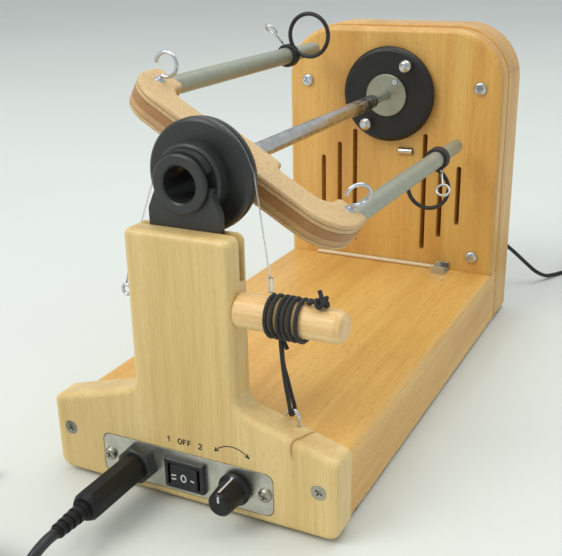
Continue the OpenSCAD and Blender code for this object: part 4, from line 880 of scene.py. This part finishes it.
# Pale, middle and deep tone of each wood
PALE = [(0.8, 0.61, 0.27), (0.73, 0.535, 0.22), (0.64, 0.44, 0.16)]
# pale beech with warm overhead light painted in, given to the base block
PAINTED_WARM_LIGHT_TONES = [(0.82, 0.51, 0.145), (0.75, 0.435, 0.105), (0.65, 0.345, 0.075)]
HONEY = [(0.74, 0.46, 0.125), (0.66, 0.37, 0.085), (0.56, 0.28, 0.055)]
TURNED = [(0.88, 0.65, 0.32), (0.82, 0.56, 0.25), (0.7, 0.43, 0.16)]
ROD = [(0.8, 0.68, 0.45), (0.72, 0.6, 0.38), (0.62, 0.5, 0.3)]
MOULDED = (0.008, 0.0085, 0.009)

FINISHES = {
    "pale_beech": wood("beech_upright", Z_AXIS, PALE, 1.0, fleck=0.28, crack=True),
    "honey_wood": wood("beech_housing", Z_AXIS, HONEY, 31.0, across=1.3, staves=46),
    "peg_wood": wood("beech_peg", X_AXIS, TURNED, 47.0, across=0.7),
    "plywood": plywood(),
    "black_plastic": plastic("turned_black", (0.024, 0.026, 0.025), 0.34, turned=0.012),
    "disc_plastic": plastic("disc_black", (0.005, 0.0055, 0.0045), 0.46, turned=0.006, grain=0.006),
    "switch_plastic": plastic("switch_black", (0.014, 0.015, 0.017), 0.33, grain=0.012, edge_highlight_and_wear=0.3),
    "knob_plastic": plastic("knob_black", MOULDED, 0.36, grain=0.008, edge_highlight_and_wear=0.5, specular=0.32),
    "plug_plastic": plastic("plug_black", MOULDED, 0.4, grain=0.012, edge_highlight_and_wear=0.3, specular=0.3),
    "lead_plastic": lead_finish(),
    "black_rubber": rubber_finish(),
    "zinc": metal("zinc_plate", (0.6, 0.65, 0.7), 0.22),
    "bright_steel": metal("bright_steel_wire", (0.6, 0.61, 0.6), 0.24),
    "plain_steel": metal("turned_steel", (0.36, 0.37, 0.29), 0.44, brushed=(0.4, 0.25, 0.4), mottle=0.02),
    "matte_aluminium": metal("blasted_aluminium", (0.46, 0.48, 0.39), 0.56, pits=0.02, mottle=0.02),
    "satin_aluminium": metal("satin_aluminium_sheet", (0.62, 0.62, 0.55), 0.38, brushed=(9, 0.2, 0.2)),
    "board_green": board_finish(),
    "black_cord": cord_finish(),
    "clear_nylon": nylon_finish(),
    "hook_rod": wood("pale_rod", X_AXIS, ROD, 60.0, across=0.5, fleck=0.2),
}
# Nodes whose grain or metal differs from that of their slot; the base block's warmer tones are pale beech
# with warm overhead light painted in
OWN_FINISH = {
    "base_block": wood("beech_base_painted_warm_light", Y_AXIS, PAINTED_WARM_LIGHT_TONES, 15.0, across=1.2),
    "rear_panel": wood("beech_panel", Z_AXIS, HONEY, 23.0, across=1.5, staves=33, fleck=0.3),
    "bottom_cover": wood("cover_ply", Y_AXIS, HONEY, 52.0, across=1.4),
    "case_screws": metal("dull_brass_screws", (0.42, 0.4, 0.34), 0.32),
}
LIGHT_PRINT = paint_finish("pale_print", (0.62, 0.63, 0.62))
DARK_PRINT = paint_finish("dark_print", (0.03, 0.024, 0.018))


def dress():
    """Gives every frame node the finish of its slot or its own, and every piece made here its finish."""
    for name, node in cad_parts.items():
        finish = OWN_FINISH.get(name) or FINISHES[node.data.materials[0].name.split(".")[0]]
        for slot in node.material_slots:
            slot.material = finish
    for piece in (pedal_lead, power_lead):
        piece.data.materials.append(FINISHES["lead_plastic"])
    for piece in (winding, knot, strands):
        piece.data.materials.append(FINISHES["black_cord"])
    brake_line.data.materials.append(FINISHES["clear_nylon"])
    front_print.data.materials.append(DARK_PRINT)
    for piece in (paddle_print, knob_print, tip_print):
        piece.data.materials.append(LIGHT_PRINT)


dress()

# ---- floor and light ----


FLOOR_HALF = 4.0
FLOOR_TONES = [(0.3, (0.7, 0.735, 0.69)), (0.7, (0.725, 0.76, 0.715))]


def make_floor():
    mesh = bpy.data.meshes.new("floor")
    corners = [(x * FLOOR_HALF, y * FLOOR_HALF, 0) for x, y in ((-1, -1), (1, -1), (1, 1), (-1, 1))]
    mesh.from_pydata(corners, [], [(0, 1, 2, 3)])
    floor = bpy.data.objects.new("floor", mesh)
    scene.collection.objects.link(floor)
    f = Finish("pale_floor", (0.72, 0.75, 0.71), rough=0.55, specular=0.3)
    cloud = f.noise(f.stretched((400, 400, 400), 2.0), 2.0, 0.5)
    f.set("Base Color", f.ramp(cloud, FLOOR_TONES))
    mesh.materials.append(f.material)


def area_light(name, where, target, size, watts, color):
    """A rectangular lamp of size metres at where, turned to target."""
    data = bpy.data.lights.new(name, "AREA")
    data.shape = "RECTANGLE"
    data.size, data.size_y = size
    data.energy = watts
    data.color = color
    lamp = bpy.data.objects.new(name, data)
    scene.collection.objects.link(lamp)
    lamp.location = where
    lamp.rotation_euler = (Vector(target) - Vector(where)).to_track_quat("-Z", "Y").to_euler()


SKY_COLOR, SKY_STRENGTH = (0.93, 0.97, 1.0, 1.0), 0.62


def make_light():
    world = bpy.data.worlds.new("studio")
    world.use_nodes = True
    background = world.node_tree.nodes["Background"]
    background.inputs["Color"].default_value = SKY_COLOR
    background.inputs["Strength"].default_value = SKY_STRENGTH
    scene.world = world
    area_light("key", (-0.9, -1.3, 1.7), (0, 0, 0.08), (1.2, 1.2), 24.0, (1.0, 0.97, 0.92))
    area_light("top", (0.3, 0.4, 2.0), (0, 0, 0.05), (1.6, 1.6), 16.0, (0.97, 0.99, 1.0))


make_floor()
make_light()
